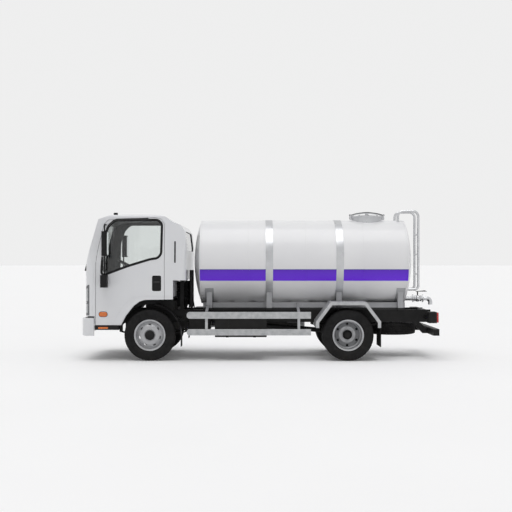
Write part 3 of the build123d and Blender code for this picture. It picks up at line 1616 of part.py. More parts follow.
# What is sunk into the cab's skin: the grille's pocket, the flare's edge and the corner's slot
grille_points = cab_across(grille_share)
grille_floor_z, grille_top_z = grille_points[0][1], grille_points[1][1]
with BuildPart() as grille_pocket:
    add(across_slab(grille_points, front_panel_back_x, grille_corner))
    add(cab_form(grille_wall + seat_gap), mode=Mode.SUBTRACT)
flare = cab_side(flare_share)
with BuildSketch(Plane.XZ) as flare_edge:
    add(flare)
    offset(amount=groove_width, kind=Kind.INTERSECTION)
    add(flare, mode=Mode.SUBTRACT)
with BuildPart() as flare_groove:
    add(cab_slab(flare_edge.sketch))
    add(cab_hull(groove_depth), mode=Mode.SUBTRACT)
with BuildPart() as corner_slots:
    add(cab_slab(cab_side(vent_share)))
    add(cab_hull(vent_depth), mode=Mode.SUBTRACT)

# Cab shell: walls, floor and roof round the cabin, with its doorways and windows cut
with BuildPart() as rear_part:
    span_block((0, rear_window_front_x), (-cab_half_width, cab_half_width), (0, 2 * cab_roof_z))
with BuildPart() as rear_window_hole:
    add(across_slab(rear_points, 0, screen_corner))
    add(rear_part.part, mode=Mode.INTERSECT)
with BuildPart() as rear_window_fill:
    add(across_slab(rear_points, 0, screen_corner, glass_gap))
    add(rear_part.part, mode=Mode.INTERSECT)
with BuildPart() as cabin:
    add(cab_inner)
    span_block(
        (0, 2 * cab_front_x),
        (-tunnel_half_width - cab_floor_wall, tunnel_half_width + cab_floor_wall),
        (0, tunnel_top_z + cab_floor_wall),
        mode=Mode.SUBTRACT,
    )
with BuildPart() as door_pocket:
    add(cab_slab(aperture))
    add(door_seal, mode=Mode.SUBTRACT)
with BuildPart() as doorway:
    add(cab_slab(rebate_sketch.sketch))
    add(cab_slab(cab_side(cab_side_share, cab_wall)), mode=Mode.INTERSECT)
    add(cab_hull(cab_wall + cut_overrun), mode=Mode.SUBTRACT)
with BuildPart() as lamp_pocket:
    add(lamp_blocks[lamp_pocket_gap])
    add(mirror(lamp_blocks[lamp_pocket_gap], about=Plane.XZ))
    add(cab_form(headlamp_wall + lamp_pocket_gap), mode=Mode.SUBTRACT)
with BuildPart() as cab_shell:
    add(cab_outer)
    span_block(
        (0, front_panel_back_x),
        (-tunnel_half_width, tunnel_half_width),
        (0, tunnel_top_z),
        mode=Mode.SUBTRACT,
    )
    add(cabin.part, mode=Mode.SUBTRACT)
    add(door_pocket.part, mode=Mode.SUBTRACT)
    add(doorway.part, mode=Mode.SUBTRACT)
    add(screen_hole, mode=Mode.SUBTRACT)
    add(rear_window_hole.part, mode=Mode.SUBTRACT)
    add(lamp_pocket.part, mode=Mode.SUBTRACT)
    add(grille_pocket.part, mode=Mode.SUBTRACT)
    add(flare_groove.part, mode=Mode.SUBTRACT)
    add(corner_slots.part, mode=Mode.SUBTRACT)
    for side in (-1, 1):
        for lug_side in (-1, 1):
            reach = pivot_bracket_wall / 2 + drum_gap
            middle_y = side * pivot_bracket_y + lug_side * (reach + pivot_lug_wall / 2)
            with Locations((cab_pivot_x, middle_y, cab_pivot_z)):
                Cylinder(pivot_lug_radius, pivot_lug_wall, rotation=(90, 0, 0))
            with Locations(((cab_pivot_x + front_panel_back_x) / 2, middle_y, cab_pivot_z)):
                Box(front_panel_back_x - cab_pivot_x, pivot_lug_wall, 2 * pivot_lug_radius)
        with Locations((cab_pivot_x, side * pivot_bracket_y, cab_pivot_z)):
            pin_length = pivot_bracket_wall + 2 * drum_gap + pivot_lug_wall
            Cylinder(pivot_pin_radius, pin_length, rotation=(90, 0, 0))
cab_shell.part.label = "cab_shell"
export_step(cab_shell.part, "parts/cab_shell.step")

# Doors: the cab's own skin inside the doorway's outline, with a window and a handle's hollow
window = cab_side(door_window_share)
with BuildSketch(Plane.XZ) as window_hole:
    add(window)
    fillet(window_hole.vertices(), window_corner)
with BuildSketch(Plane.XZ) as window_fill:
    add(window_hole.sketch)
    offset(amount=-glass_gap)
with BuildPart() as left_half:
    span_block(
        (0, 2 * cab_front_x),
        (cab_half_width - door_depth_limit, 2 * cab_half_width),
        (0, 2 * cab_roof_z),
    )
with BuildPart() as handle_block:
    add(cab_slab(cab_side(handle_share)))
    add(cab_hull(handle_depth), mode=Mode.SUBTRACT)
with BuildPart() as door_left:
    add(cab_slab(door_sketch.sketch))
    add(cab_outer, mode=Mode.INTERSECT)
    add(door_back, mode=Mode.SUBTRACT)
    add(left_half.part, mode=Mode.INTERSECT)
    add(cab_slab(window_hole.sketch), mode=Mode.SUBTRACT)
    add(handle_block.part, mode=Mode.SUBTRACT)
    add(flare_groove.part, mode=Mode.SUBTRACT)
door_left.part.label = "door_left"
export_step(door_left.part, "parts/door_left.step")
door_right = mirror(door_left.part, about=Plane.XZ)
door_right.label = "door_right"
export_step(door_right, "parts/door_right.step")

# Glass: a thin layer at one depth below the cab's skin, within each window's outline
glass_front = cab_hull(glass_depth)
glass_back = cab_hull(glass_depth + glass_wall)
with BuildPart() as door_glass_left:
    add(cab_slab(window_fill.sketch))
    add(glass_front, mode=Mode.INTERSECT)
    add(glass_back, mode=Mode.SUBTRACT)
    add(left_half.part, mode=Mode.INTERSECT)
door_glass_left.part.label = "door_glass_left"
export_step(door_glass_left.part, "parts/door_glass_left.step")
door_glass_right = mirror(door_glass_left.part, about=Plane.XZ)
door_glass_right.label = "door_glass_right"
export_step(door_glass_right, "parts/door_glass_right.step")

with BuildPart() as glass_layer:
    add(cab_form(glass_depth))
    add(cab_form(glass_depth + glass_wall), mode=Mode.SUBTRACT)
with BuildPart() as cab_glass:
    add(screen_glass)
    add(rear_window_fill.part)
    add(glass_layer.part, mode=Mode.INTERSECT)
cab_glass.part.label = "cab_glass"
export_step(cab_glass.part, "parts/cab_glass.step")

# Headlamps: upright units in the cab's front corners, each with two sunk lenses and a groove between
lamp_divider_z = cab_base_z + lamp_divider_share * cab_height
with BuildPart() as lenses:
    for shares in lens_share:
        points = scaled(shares, cab_half_width, cab_height, 0, cab_base_z)
        add(across_slab(points, headlamp_rear_x, lens_corner))
    mirror(about=Plane.XZ)
    add(cab_form(lens_depth), mode=Mode.SUBTRACT)
with BuildPart() as lamp_groove:
    span_block(
        (headlamp_rear_x, cab_front_x),
        (-cab_half_width, cab_half_width),
        (lamp_divider_z - lamp_groove_width / 2, lamp_divider_z + lamp_groove_width / 2),
    )
    add(cab_form(lamp_groove_depth), mode=Mode.SUBTRACT)
with BuildPart() as headlamps:
    add(lamp_blocks[0])
    add(mirror(lamp_blocks[0], about=Plane.XZ))
    add(cab_outer, mode=Mode.INTERSECT)
    add(cab_form(headlamp_wall), mode=Mode.SUBTRACT)
    add(lenses.part, mode=Mode.SUBTRACT)
    add(lamp_groove.part, mode=Mode.SUBTRACT)
headlamps.part.label = "headlamps"
export_step(headlamps.part, "parts/headlamps.step")

# Grille: a moulding in its pocket in the front panel, with two columns of slots
slot_pitch = (grille_top_z - grille_floor_z - 2 * grille_border) / grille_slot_count
with BuildPart() as grille_slots:
    with BuildSketch(Plane.YZ.offset(front_panel_back_x)):
        with Locations((0, (grille_floor_z + grille_top_z) / 2)):
            with GridLocations(grille_slot_length + grille_post, slot_pitch, 2, grille_slot_count):
                SlotOverall(grille_slot_length, grille_slot_height)
    extrude(amount=cab_front_x - front_panel_back_x)
    add(cab_form(grille_slot_depth), mode=Mode.SUBTRACT)
with BuildPart() as grille:
    add(across_slab(grille_points, front_panel_back_x, grille_corner, seat_gap))
    add(cab_form(grille_recess), mode=Mode.INTERSECT)
    add(cab_form(grille_wall), mode=Mode.SUBTRACT)
    add(grille_slots.part, mode=Mode.SUBTRACT)
grille.part.label = "grille"
export_step(grille.part, "parts/grille.step")

# Dashboard, fitted inside the cabin's walls
cabin_fit = cab_form(cab_wall + seat_gap)
with BuildPart() as dashboard:
    add(cab_slab(cab_side(dash_share)))
    add(cabin_fit, mode=Mode.INTERSECT)
dashboard.part.label = "dashboard"
export_step(dashboard.part, "parts/dashboard.step")

# Seats: one for the driver and one beside
with BuildSketch(Plane.XZ) as seat_side:
    add(cab_side(seat_share))
    fillet(seat_side.vertices().sort_by(Axis.Y)[2:], seat_corner)
with BuildPart() as seats:
    add(carried(seat_side.sketch, seat_width / 2).translate(Vector(0, seat_y, 0)))
    add(carried(seat_side.sketch, seat_width / 2).translate(Vector(0, -seat_y, 0)))
seats.part.label = "seats"
export_step(seats.part, "parts/seats.step")

# Steering wheel on a column that stands on the cab's floor
wheel_normal = (-sin(radians(wheel_tilt)), 0, cos(radians(wheel_tilt)))
wheel_face = Plane(origin=(wheel_x, wheel_y, wheel_z), x_dir=(0, 1, 0), z_dir=wheel_normal)
floor_top_z = tunnel_top_z + cab_floor_wall
column_length = (wheel_z - floor_top_z) / cos(radians(wheel_tilt)) + 2 * column_radius
with BuildPart() as steering_wheel:
    with Locations(wheel_face):
        Torus(wheel_ring, wheel_grip)
        with PolarLocations(0, 3, start_angle=90):
            Box(wheel_ring, wheel_spoke_width, wheel_grip, align=(Align.MIN, Align.CENTER, Align.CENTER))
    with BuildSketch(wheel_face.offset(wheel_grip)):
        Circle(wheel_boss)
    extrude(amount=-wheel_boss_wall - wheel_grip)
    with BuildSketch(wheel_face):
        Circle(column_radius)
    extrude(amount=-column_length)
    span_block(
        (wheel_x, 2 * wheel_x),
        (0, 2 * wheel_y),
        (0, floor_top_z + seat_gap),
        mode=Mode.SUBTRACT,
    )
steering_wheel.part.label = "steering_wheel"
export_step(steering_wheel.part, "parts/steering_wheel.step")

# Sills under the doors
with BuildPart() as cab_sills:
    with BuildSketch(Plane.YZ.offset(sill_rear_x)):
        with BuildLine():
            Polyline(
                (sill_inner_y, cab_base_z),
                (sill_step_y, cab_base_z),
                (sill_step_y, cab_base_z - sill_door_gap),
                (sill_outer_y, cab_base_z - sill_door_gap),
                (sill_outer_y, sill_floor_z + sill_bevel),
                (sill_outer_y - sill_bevel, sill_floor_z),
                (sill_inner_y, sill_floor_z),
                close=True,
            )
        make_face()
    extrude(amount=sill_front_x - sill_rear_x)
    mirror(about=Plane.XZ)
cab_sills.part.label = "cab_sills"
export_step(cab_sills.part, "parts/cab_sills.step")

# Mirrors: two heads on a bent arm from each door
arm_route = [
    (mirror_arm_x, cab_half_width - 2 * cab_wall, mirror_arm_top_z),
    (mirror_arm_x, mirror_arm_y, mirror_arm_top_z),
    (mirror_arm_x, mirror_arm_y, mirror_arm_floor_z),
    (mirror_arm_x, cab_half_width - 2 * cab_wall, mirror_arm_floor_z),
]
with BuildPart() as skin_clear:
    add(cab_hull(-seat_gap))
with BuildPart() as mirror_heads:
    span_block(
        (mirror_arm_x - mirror_back_reach, mirror_arm_x + mirror_front_reach),
        (mirror_inner_y, mirror_outer_y),
        (mirror_floor_z, mirror_top_z),
    )
    span_block(
        (mirror_arm_x - small_mirror_back_reach, mirror_arm_x + small_mirror_front_reach),
        (small_mirror_inner_y, small_mirror_outer_y),
        (small_mirror_floor_z, small_mirror_top_z),
    )
    fillet(mirror_heads.edges().filter_by(Axis.Z), mirror_corner)
with BuildPart() as mirror_left:
    add(tube(arm_route, [mirror_arm_bend, mirror_arm_bend], mirror_arm_radius))
    add(mirror_heads.part)
    add(skin_clear.part, mode=Mode.SUBTRACT)
mirror_left.part.label = "mirror_left"
export_step(mirror_left.part, "parts/mirror_left.step")
mirror_right = mirror(mirror_left.part, about=Plane.XZ)
mirror_right.label = "mirror_right"
export_step(mirror_right, "parts/mirror_right.step")

# Rest behind the engine that carries the back of the cab
cab_back_floor_z = cab_base_z + cab_side_share[11][1] * cab_height
with BuildPart() as cab_rest:
    for side in (-1, 1):
        post_span = sorted((side * (frame_half_width - frame_flange), side * frame_half_width))
        span_block((rest_rear_x, rest_front_x), post_span, (frame_top_z, cab_back_floor_z - rest_gap))
    span_block(
        (rest_rear_x, rest_front_x),
        (-frame_half_width, frame_half_width),
        (cab_back_floor_z - rest_gap - rest_beam_height, cab_back_floor_z - rest_gap),
    )
cab_rest.part.label = "cab_rest"
export_step(cab_rest.part, "parts/cab_rest.step")
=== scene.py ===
import json
import math

import bmesh
import bpy
import numpy as np
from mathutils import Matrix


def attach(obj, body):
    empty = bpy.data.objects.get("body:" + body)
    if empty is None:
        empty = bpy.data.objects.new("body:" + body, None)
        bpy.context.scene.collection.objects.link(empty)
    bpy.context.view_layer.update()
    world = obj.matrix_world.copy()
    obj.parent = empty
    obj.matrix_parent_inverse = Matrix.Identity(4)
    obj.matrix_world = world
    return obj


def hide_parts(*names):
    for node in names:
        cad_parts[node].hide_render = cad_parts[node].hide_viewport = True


# Tanker truck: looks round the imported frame. Metres, +X forward, +Y to the driver's left, +Z up.
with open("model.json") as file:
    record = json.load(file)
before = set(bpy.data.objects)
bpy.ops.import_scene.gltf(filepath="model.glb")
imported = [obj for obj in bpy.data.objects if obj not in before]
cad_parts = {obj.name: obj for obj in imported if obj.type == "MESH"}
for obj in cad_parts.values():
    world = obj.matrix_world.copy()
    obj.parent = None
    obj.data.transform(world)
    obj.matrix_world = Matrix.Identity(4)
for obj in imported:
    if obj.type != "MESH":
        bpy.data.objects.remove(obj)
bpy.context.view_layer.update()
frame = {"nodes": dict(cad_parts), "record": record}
nodes = frame["nodes"]
sides = (("left", 1), ("right", -1))
print("frame loaded:", len(nodes), "nodes")


# Shapes: every new piece is a grid of points and the quads between them
def unit(vectors):
    # each vector divided by its length
    vectors = np.asarray(vectors, float)
    return vectors / np.linalg.norm(vectors, axis=-1, keepdims=True)


def turnAngles(count):
    # equal angles round a full turn, the last one a step before the first
    return np.linspace(0, 2 * np.pi, count, endpoint=False)


def facing(along, across, up, axis):
    # points made of a measure along an axis and two measures square to it
    order = {"x": (along, across, up), "y": (across, along, up), "z": (across, up, along)}[axis]
    return np.stack(np.broadcast_arrays(*order), -1)


def between(values, span):
    return (values > span[0]) & (values < span[1])


def gridQuads(rows, columns, closeRows=False, closeColumns=False):
    # quads between neighbours of a grid whose point (i, j) has the number i * columns + j
    i, j = np.meshgrid(
        np.arange(rows if closeRows else rows - 1),
        np.arange(columns if closeColumns else columns - 1),
        indexing="ij",
    )
    nextI, nextJ = (i + 1) % rows, (j + 1) % columns
    corners = [i * columns + j, nextI * columns + j, nextI * columns + nextJ, i * columns + nextJ]
    return np.stack(corners, -1).reshape(-1, 4)


def stacked(shapes):
    # several pairs of points and quads as one pair, each set of quads moved on past the points before it
    points = [shape[0].reshape(-1, 3) for shape in shapes]
    starts = np.cumsum([0] + [len(p) for p in points[:-1]])
    return np.concatenate(points), np.concatenate([s[1] + n for s, n in zip(shapes, starts)])


def mirrored(shape):
    # the same shape on the other side: y changes its sign
    return shape[0].reshape(-1, 3) * (1, -1, 1), shape[1]


def bothSides(shape):
    return stacked([shape, mirrored(shape)])


def carried(path, profile, up, closed=False):
    # a closed profile of (across, upward) pairs carried along a path: a ring is the path's point plus
    # across times the side vector plus upward times the vector square to side and tangent
    path, profile = np.asarray(path, float), np.asarray(profile, float)
    tangent = np.roll(path, -1, 0) - np.roll(path, 1, 0) if closed else np.gradient(path, axis=0)
    side = unit(np.cross(unit(tangent), up))
    rise = np.cross(side, unit(tangent))
    rings = path[:, None] + profile[..., 0:1] * side[:, None] + profile[..., 1:2] * rise[:, None]
    if not closed:
        ends = path[[0, -1], None].repeat(rings.shape[1], 1)
        rings = np.concatenate([ends[:1], rings, ends[1:]])
    return rings, gridQuads(len(rings), rings.shape[1], closed, True)


def circle(radius, count=12):
    # a round profile: radius times the cosine and sine of the angle
    angle = turnAngles(count)
    return radius * np.stack([np.cos(angle), np.sin(angle)], -1)


def cornerArcs(before, corners, after, steps):
    # a parabola over each corner: (1-t)^2 before + 2t(1-t) corner + t^2 after
    t = np.linspace(0, 1, steps)[None, :, None]
    arcs = (1 - t) ** 2 * before[:, None] + 2 * t * (1 - t) * corners[:, None] + t**2 * after[:, None]
    return arcs.reshape(-1, corners.shape[1])


def bent(points, bend, steps=7):
    # a path of straight runs whose corners are parabolas that begin and end at bend from the corner
    points = np.asarray(points, float)
    corners = points[1:-1]
    before = corners + unit(points[:-2] - corners) * bend
    after = corners + unit(points[2:] - corners) * bend
    return np.concatenate([points[:1], cornerArcs(before, corners, after, steps), points[-1:]])


def rounded(outline, bend, steps=6, longest=0.45):
    # a closed outline with such corners, whose bend is at most a share of the shorter edge beside it
    outline = np.asarray(outline, float)
    following = np.roll(outline, -1, 0)
    edges = np.linalg.norm(following - outline, axis=1)
    reach = np.minimum(bend, longest * np.minimum(edges, np.roll(edges, 1)))[:, None]
    before = outline + unit(np.roll(outline, 1, 0) - outline) * reach
    after = outline + unit(following - outline) * reach
    return cornerArcs(before, outline, after, steps)


def evened(points, count):
    # a path walked in equal steps, with the length run at each of them
    run = np.concatenate([[0], np.cumsum(np.linalg.norm(np.diff(points, axis=0), axis=1))])
    steps = np.linspace(0, run[-1], count)
    return np.stack([np.interp(steps, run, column) for column in points.T], -1), steps


def turned(profile, centre, axis="y", count=48):
    # a profile of (radius, along) pairs turned round an axis through centre
    profile = np.asarray(profile, float)
    angle = turnAngles(count)[None]
    across, up = profile[:, :1] * np.cos(angle), profile[:, :1] * np.sin(angle)
    points = facing(profile[:, 1:], across, up, axis) + np.asarray(centre)
    return points, gridQuads(len(profile), count, False, True)


def roundedBox(middle, size, corner, steps=5):
    # a rectangle's outline with quarter circles of one radius at its corners
    angle = np.linspace(0, np.pi / 2, steps)[None] + np.arange(4)[:, None] * np.pi / 2
    signs = np.array([[1, 1], [-1, 1], [-1, -1], [1, -1]])[:, None]
    arcs = signs * (np.asarray(size) / 2 - corner) + corner * np.stack([np.cos(angle), np.sin(angle)], -1)
    return arcs.reshape(-1, 2) + np.asarray(middle)


def slab(outline, low, high, axis, edge=0.002):
    # an outline carried along an axis; its rims are drawn in by edge and its ends close on their middle
    outline = np.asarray(outline, float)
    middle = outline.mean(0)
    closing, drawn = middle + 0 * outline, outline - unit(outline - middle) * edge
    rings = np.stack([closing, drawn, outline, outline, drawn, closing])
    depths = np.array([low, low, low + edge, high - edge, high, high])[:, None]
    points = facing(depths, rings[..., 0], rings[..., 1], axis)
    return points, gridQuads(len(rings), len(outline), False, True)


def rimStrip(outline, rows, place):
    # a closed strip round an outline: each row is (distance outward, lift) and place makes points of them
    step = np.roll(outline, -1, 0) - np.roll(outline, 1, 0)
    area = (outline[:, 0] * np.roll(outline[:, 1], -1) - np.roll(outline[:, 0], -1) * outline[:, 1]).sum()
    outward = unit(np.stack([step[:, 1], -step[:, 0]], -1)) * np.sign(area)
    rings = [place(outline + outward * away, lift) for away, lift in rows]
    return np.stack(rings), gridQuads(len(rows), len(outline), True, True)


def filled(outline, rows, place):
    # an outline filled by rings drawn to its middle: each row is (share of the way out, lift)
    middle = outline.mean(0)
    rings = [place(middle + (outline - middle) * share, lift) for share, lift in rows]
    return np.stack(rings), gridQuads(len(rings), len(outline), False, True)


boltHead = ((0, 0), (1.35, 0), (1.35, 0.2), (1, 0.22), (1, 0.85), (0.85, 1), (0, 1))  # radius, height


def hexagons(places, axis, radius, height):
    # one bolt head with its washer, turned in six flats and copied by adding each place to its points
    points, quads = turned(np.array(boltHead) * (radius, height), (0, 0, 0), axis, 6)
    points, places = points.reshape(-1, 3), np.asarray(places, float).reshape(-1, 3)
    starts = np.arange(len(places))[:, None, None] * len(points)
    return (points + places[:, None]).reshape(-1, 3), (quads + starts).reshape(-1, 4)


def ring(middle, radius, count, axis, start):
    # places evenly round a circle that faces along an axis
    angle = start + turnAngles(count)
    return facing(0.0, radius * np.cos(angle), radius * np.sin(angle), axis) + np.asarray(middle)


def linked(name, data):
    # an object of this data, put into the scene
    made = bpy.data.objects.new(name, data)
    bpy.context.scene.collection.objects.link(made)
    return made


merge = {"doubles": 2e-6, "slivers": 1e-7}


def piece(name, shape, look, body, sharp=38, replaces=()):
    # puts a shape into a mesh: doubles merged at poles and seams, faces turned outward, ridden and named
    mesh = bpy.data.meshes.new(name)
    mesh.from_pydata(shape[0].reshape(-1, 3).tolist(), [], shape[1].tolist())
    work = bmesh.new()
    work.from_mesh(mesh)
    bmesh.ops.remove_doubles(work, verts=work.verts, dist=merge["doubles"])
    bmesh.ops.dissolve_degenerate(work, edges=work.edges, dist=merge["slivers"])
    bmesh.ops.recalc_face_normals(work, faces=work.faces)
    work.to_mesh(mesh)
    work.free()
    mesh.shade_smooth()
    mesh.set_sharp_from_angle(angle=math.radians(sharp))
    mesh.materials.append(finish[look])
    made = linked(name, mesh)
    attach(made, body)
    if replaces:
        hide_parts(*replaces)
    return made


# Node groups: effects that several finishes share
def newGroup(name, inputs, outputs):
    # an empty group, with the sockets that its nodes read from and those that they feed
    group = bpy.data.node_groups.new(name, "ShaderNodeTree")
    kinds = {"v": "NodeSocketVector", "c": "NodeSocketColor", "f": "NodeSocketFloat"}
    for label, kind in inputs:
        group.interface.new_socket(name=label, in_out="INPUT", socket_type=kinds[kind])
    for label, kind in outputs:
        group.interface.new_socket(name=label, in_out="OUTPUT", socket_type=kinds[kind])
    return group, group.nodes.new("NodeGroupInput").outputs, group.nodes.new("NodeGroupOutput").inputs


def join(tree, value, socket):
    # a socket is linked, and a plain value is set
    if isinstance(value, bpy.types.NodeSocket):
        tree.links.new(value, socket)
    else:
        socket.default_value = value


def mathOf(tree, operation, a, b=0.0, clamp=False):
    node = tree.nodes.new("ShaderNodeMath")
    node.operation, node.use_clamp = operation, clamp
    join(tree, a, node.inputs[0])
    join(tree, b, node.inputs[1])
    return node.outputs[0]


def mixOf(tree, share, a, b):
    node = tree.nodes.new("ShaderNodeMix")
    node.data_type = "RGBA"
    for number, given in ((0, share), (6, a), (7, b)):  # factor and the two colours
        join(tree, given, node.inputs[number])
    return node.outputs[2]


def rangeOf(tree, value, fromLow, fromHigh, toLow=0.0, toHigh=1.0):
    node = tree.nodes.new("ShaderNodeMapRange")
    for number, given in enumerate((value, fromLow, fromHigh, toLow, toHigh)):
        join(tree, given, node.inputs[number])
    return node.outputs[0]


def noiseOf(tree, place, scale, detail):
    node = tree.nodes.new("ShaderNodeTexNoise")
    join(tree, place, node.inputs["Vector"])
    join(tree, scale, node.inputs["Scale"])
    node.inputs["Detail"].default_value = detail
    return node.outputs[0]


def axisOf(tree, place, axis):
    node = tree.nodes.new("ShaderNodeSeparateXYZ")
    join(tree, place, node.inputs[0])
    return node.outputs[axis]


clouds = {"mottle": (4.0, 0.35, 0.7), "dust": (6.0, 0.3, 0.72), "sheen": (3.0, 0.3, 0.7)}
dustScale = 7.0


def cloudOf(tree, kind, place, scale, toLow=0.0, toHigh=1.0):
    # noise of a detail, with the span between two of its values spread from low to high
    detail, low, high = clouds[kind]
    return rangeOf(tree, noiseOf(tree, place, scale, detail), low, high, toLow, toHigh)


def makeMottle():
    # cloudy change between two colours
    inputs = [("Place", "v"), ("Colour", "c"), ("Second", "c"), ("Scale", "f"), ("Amount", "f")]
    group, given, out = newGroup("mottle", inputs, [("Colour", "c")])
    cloud = cloudOf(group, "mottle", given["Place"], given["Scale"])
    share = mathOf(group, "MULTIPLY", cloud, given["Amount"])
    join(group, mixOf(group, share, given["Colour"], given["Second"]), out["Colour"])
    return group


def makeDust():
    # dust that thickens from a top height down to a foot height, broken up by noise
    inputs = [("Place", "v"), ("Colour", "c"), ("Dust", "c"), ("Foot", "f"), ("Top", "f"), ("Amount", "f")]
    group, given, out = newGroup("dust", inputs, [("Colour", "c"), ("Mask", "f")])
    height = rangeOf(group, axisOf(group, given["Place"], "Z"), given["Top"], given["Foot"])
    broken = cloudOf(group, "dust", given["Place"], dustScale)
    mask = mathOf(group, "MULTIPLY", mathOf(group, "MULTIPLY", height, broken), given["Amount"])
    join(group, mixOf(group, mask, given["Colour"], given["Dust"]), out["Colour"])
    join(group, mask, out["Mask"])
    return group


def makeSheen():
    # roughness that wanders round a middle value
    inputs = [("Place", "v"), ("Rough", "f"), ("Spread", "f"), ("Scale", "f")]
    group, given, out = newGroup("sheen", inputs, [("Rough", "f")])
    wander = cloudOf(group, "sheen", given["Place"], given["Scale"], -1.0, 1.0)
    shift = mathOf(group, "MULTIPLY", wander, given["Spread"])
    join(group, mathOf(group, "ADD", given["Rough"], shift, True), out["Rough"])
    return group


def makeGrain():
    # moulded grain: rounded cells of one size, softened by noise
    group, given, out = newGroup("grain", [("Place", "v"), ("Scale", "f")], [("Height", "f")])
    cells = group.nodes.new("ShaderNodeTexVoronoi")
    join(group, given["Place"], cells.inputs["Vector"])
    join(group, given["Scale"], cells.inputs["Scale"])
    fine = noiseOf(group, given["Place"], given["Scale"], 2.0)
    join(group, mathOf(group, "ADD", cells.outputs["Distance"], fine), out["Height"])
    return group


def makeStrokes():
    # fine strokes: noise stretched along one direction
    group, given, out = newGroup("strokes", [("Place", "v"), ("Stretch", "v")], [("Height", "f")])
    stretched = group.nodes.new("ShaderNodeVectorMath")
    stretched.operation = "MULTIPLY"
    join(group, given["Place"], stretched.inputs[0])
    join(group, given["Stretch"], stretched.inputs[1])
    join(group, noiseOf(group, stretched.outputs[0], 1.0, 4.0), out["Height"])
    return group


def makeBand():
    # one inside a range of heights and lengths, zero outside, with narrow soft edges
    inputs = [("Place", "v"), ("Foot", "f"), ("Top", "f"), ("Rear", "f"), ("Front", "f"), ("Soft", "f")]
    group, given, out = newGroup("band", inputs, [("Mask", "f")])
    edges = []
    for axis, low, high in (("Z", "Foot", "Top"), ("X", "Rear", "Front")):
        at = axisOf(group, given["Place"], axis)
        for near, far in ((at, given[low]), (given[high], at)):
            gap = mathOf(group, "SUBTRACT", near, far)
            edges.append(mathOf(group, "DIVIDE", gap, given["Soft"], True))
    mask = edges[0]
    for edge in edges[1:]:
        mask = mathOf(group, "MULTIPLY", mask, edge)
    join(group, mask, out["Mask"])
    return group


def makeWeave():
    # woven threads: waves along X and Z added and multiplied by a wave along Y, as a height from 0 to 1
    group, given, out = newGroup("weave", [("Place", "v"), ("Pitch", "f")], [("Height", "f")])
    places = [axisOf(group, given["Place"], axis) for axis in "XYZ"]
    waves = [mathOf(group, "SINE", mathOf(group, "MULTIPLY", at, given["Pitch"])) for at in places]
    pair = mathOf(group, "MULTIPLY", mathOf(group, "ADD", waves[0], waves[2]), waves[1])
    join(group, rangeOf(group, pair, -1.0, 1.0), out["Height"])
    return group


groups = {
    "mottle": makeMottle(), "dust": makeDust(), "sheen": makeSheen(), "grain": makeGrain(),
    "strokes": makeStrokes(), "band": makeBand(), "weave": makeWeave(),
}


def useGroup(tree, name, output, **values):
    node = tree.nodes.new("ShaderNodeGroup")
    node.node_tree = groups[name]
    for label, value in values.items():
        join(tree, value, node.inputs[label])
    return node.outputs[output]


def colour(red, green, blue):
    # a colour written as 0 to 255 display values, made linear
    values = np.array([red, green, blue]) / 255
    return (*np.where(values <= 0.04045, values / 12.92, ((values + 0.055) / 1.055) ** 2.4), 1.0)


# Finishes
def startMaterial(name, rough, metallic=0.0, coat=0.0, spec=0.5):
    # a material with its tree, its shader's inputs and the place on the object
    material = bpy.data.materials.new(name)
    material.use_nodes = True
    tree = material.node_tree
    shader = tree.nodes["Principled BSDF"]
    shader.inputs["Roughness"].default_value = rough
    shader.inputs["Metallic"].default_value = metallic
    shader.inputs["Coat Weight"].default_value = coat
    shader.inputs["Coat Roughness"].default_value = 0.05
    shader.inputs["Specular IOR Level"].default_value = spec
    return material, tree, shader.inputs, tree.nodes.new("ShaderNodeTexCoord").outputs["Object"]


def mottled(tree, place, first, second, scale, amount=1.0):
    values = {"Place": place, "Colour": first, "Second": second, "Scale": scale, "Amount": amount}
    return useGroup(tree, "mottle", "Colour", **values)


def dusted(tree, place, shown, dust, foot, top, amount):
    values = {"Place": place, "Colour": shown, "Dust": dust, "Foot": foot, "Top": top, "Amount": amount}
    return useGroup(tree, "dust", "Colour", **values)


def roughen(tree, place, inputs, rough, spread, scale):
    wandering = useGroup(tree, "sheen", "Rough", Place=place, Rough=rough, Spread=spread, Scale=scale)
    join(tree, wandering, inputs["Roughness"])


def lift(tree, inputs, height, strength, distance):
    node = tree.nodes.new("ShaderNodeBump")
    node.inputs["Strength"].default_value = strength
    node.inputs["Distance"].default_value = distance
    join(tree, height, node.inputs["Height"])
    join(tree, node.outputs["Normal"], inputs["Normal"])


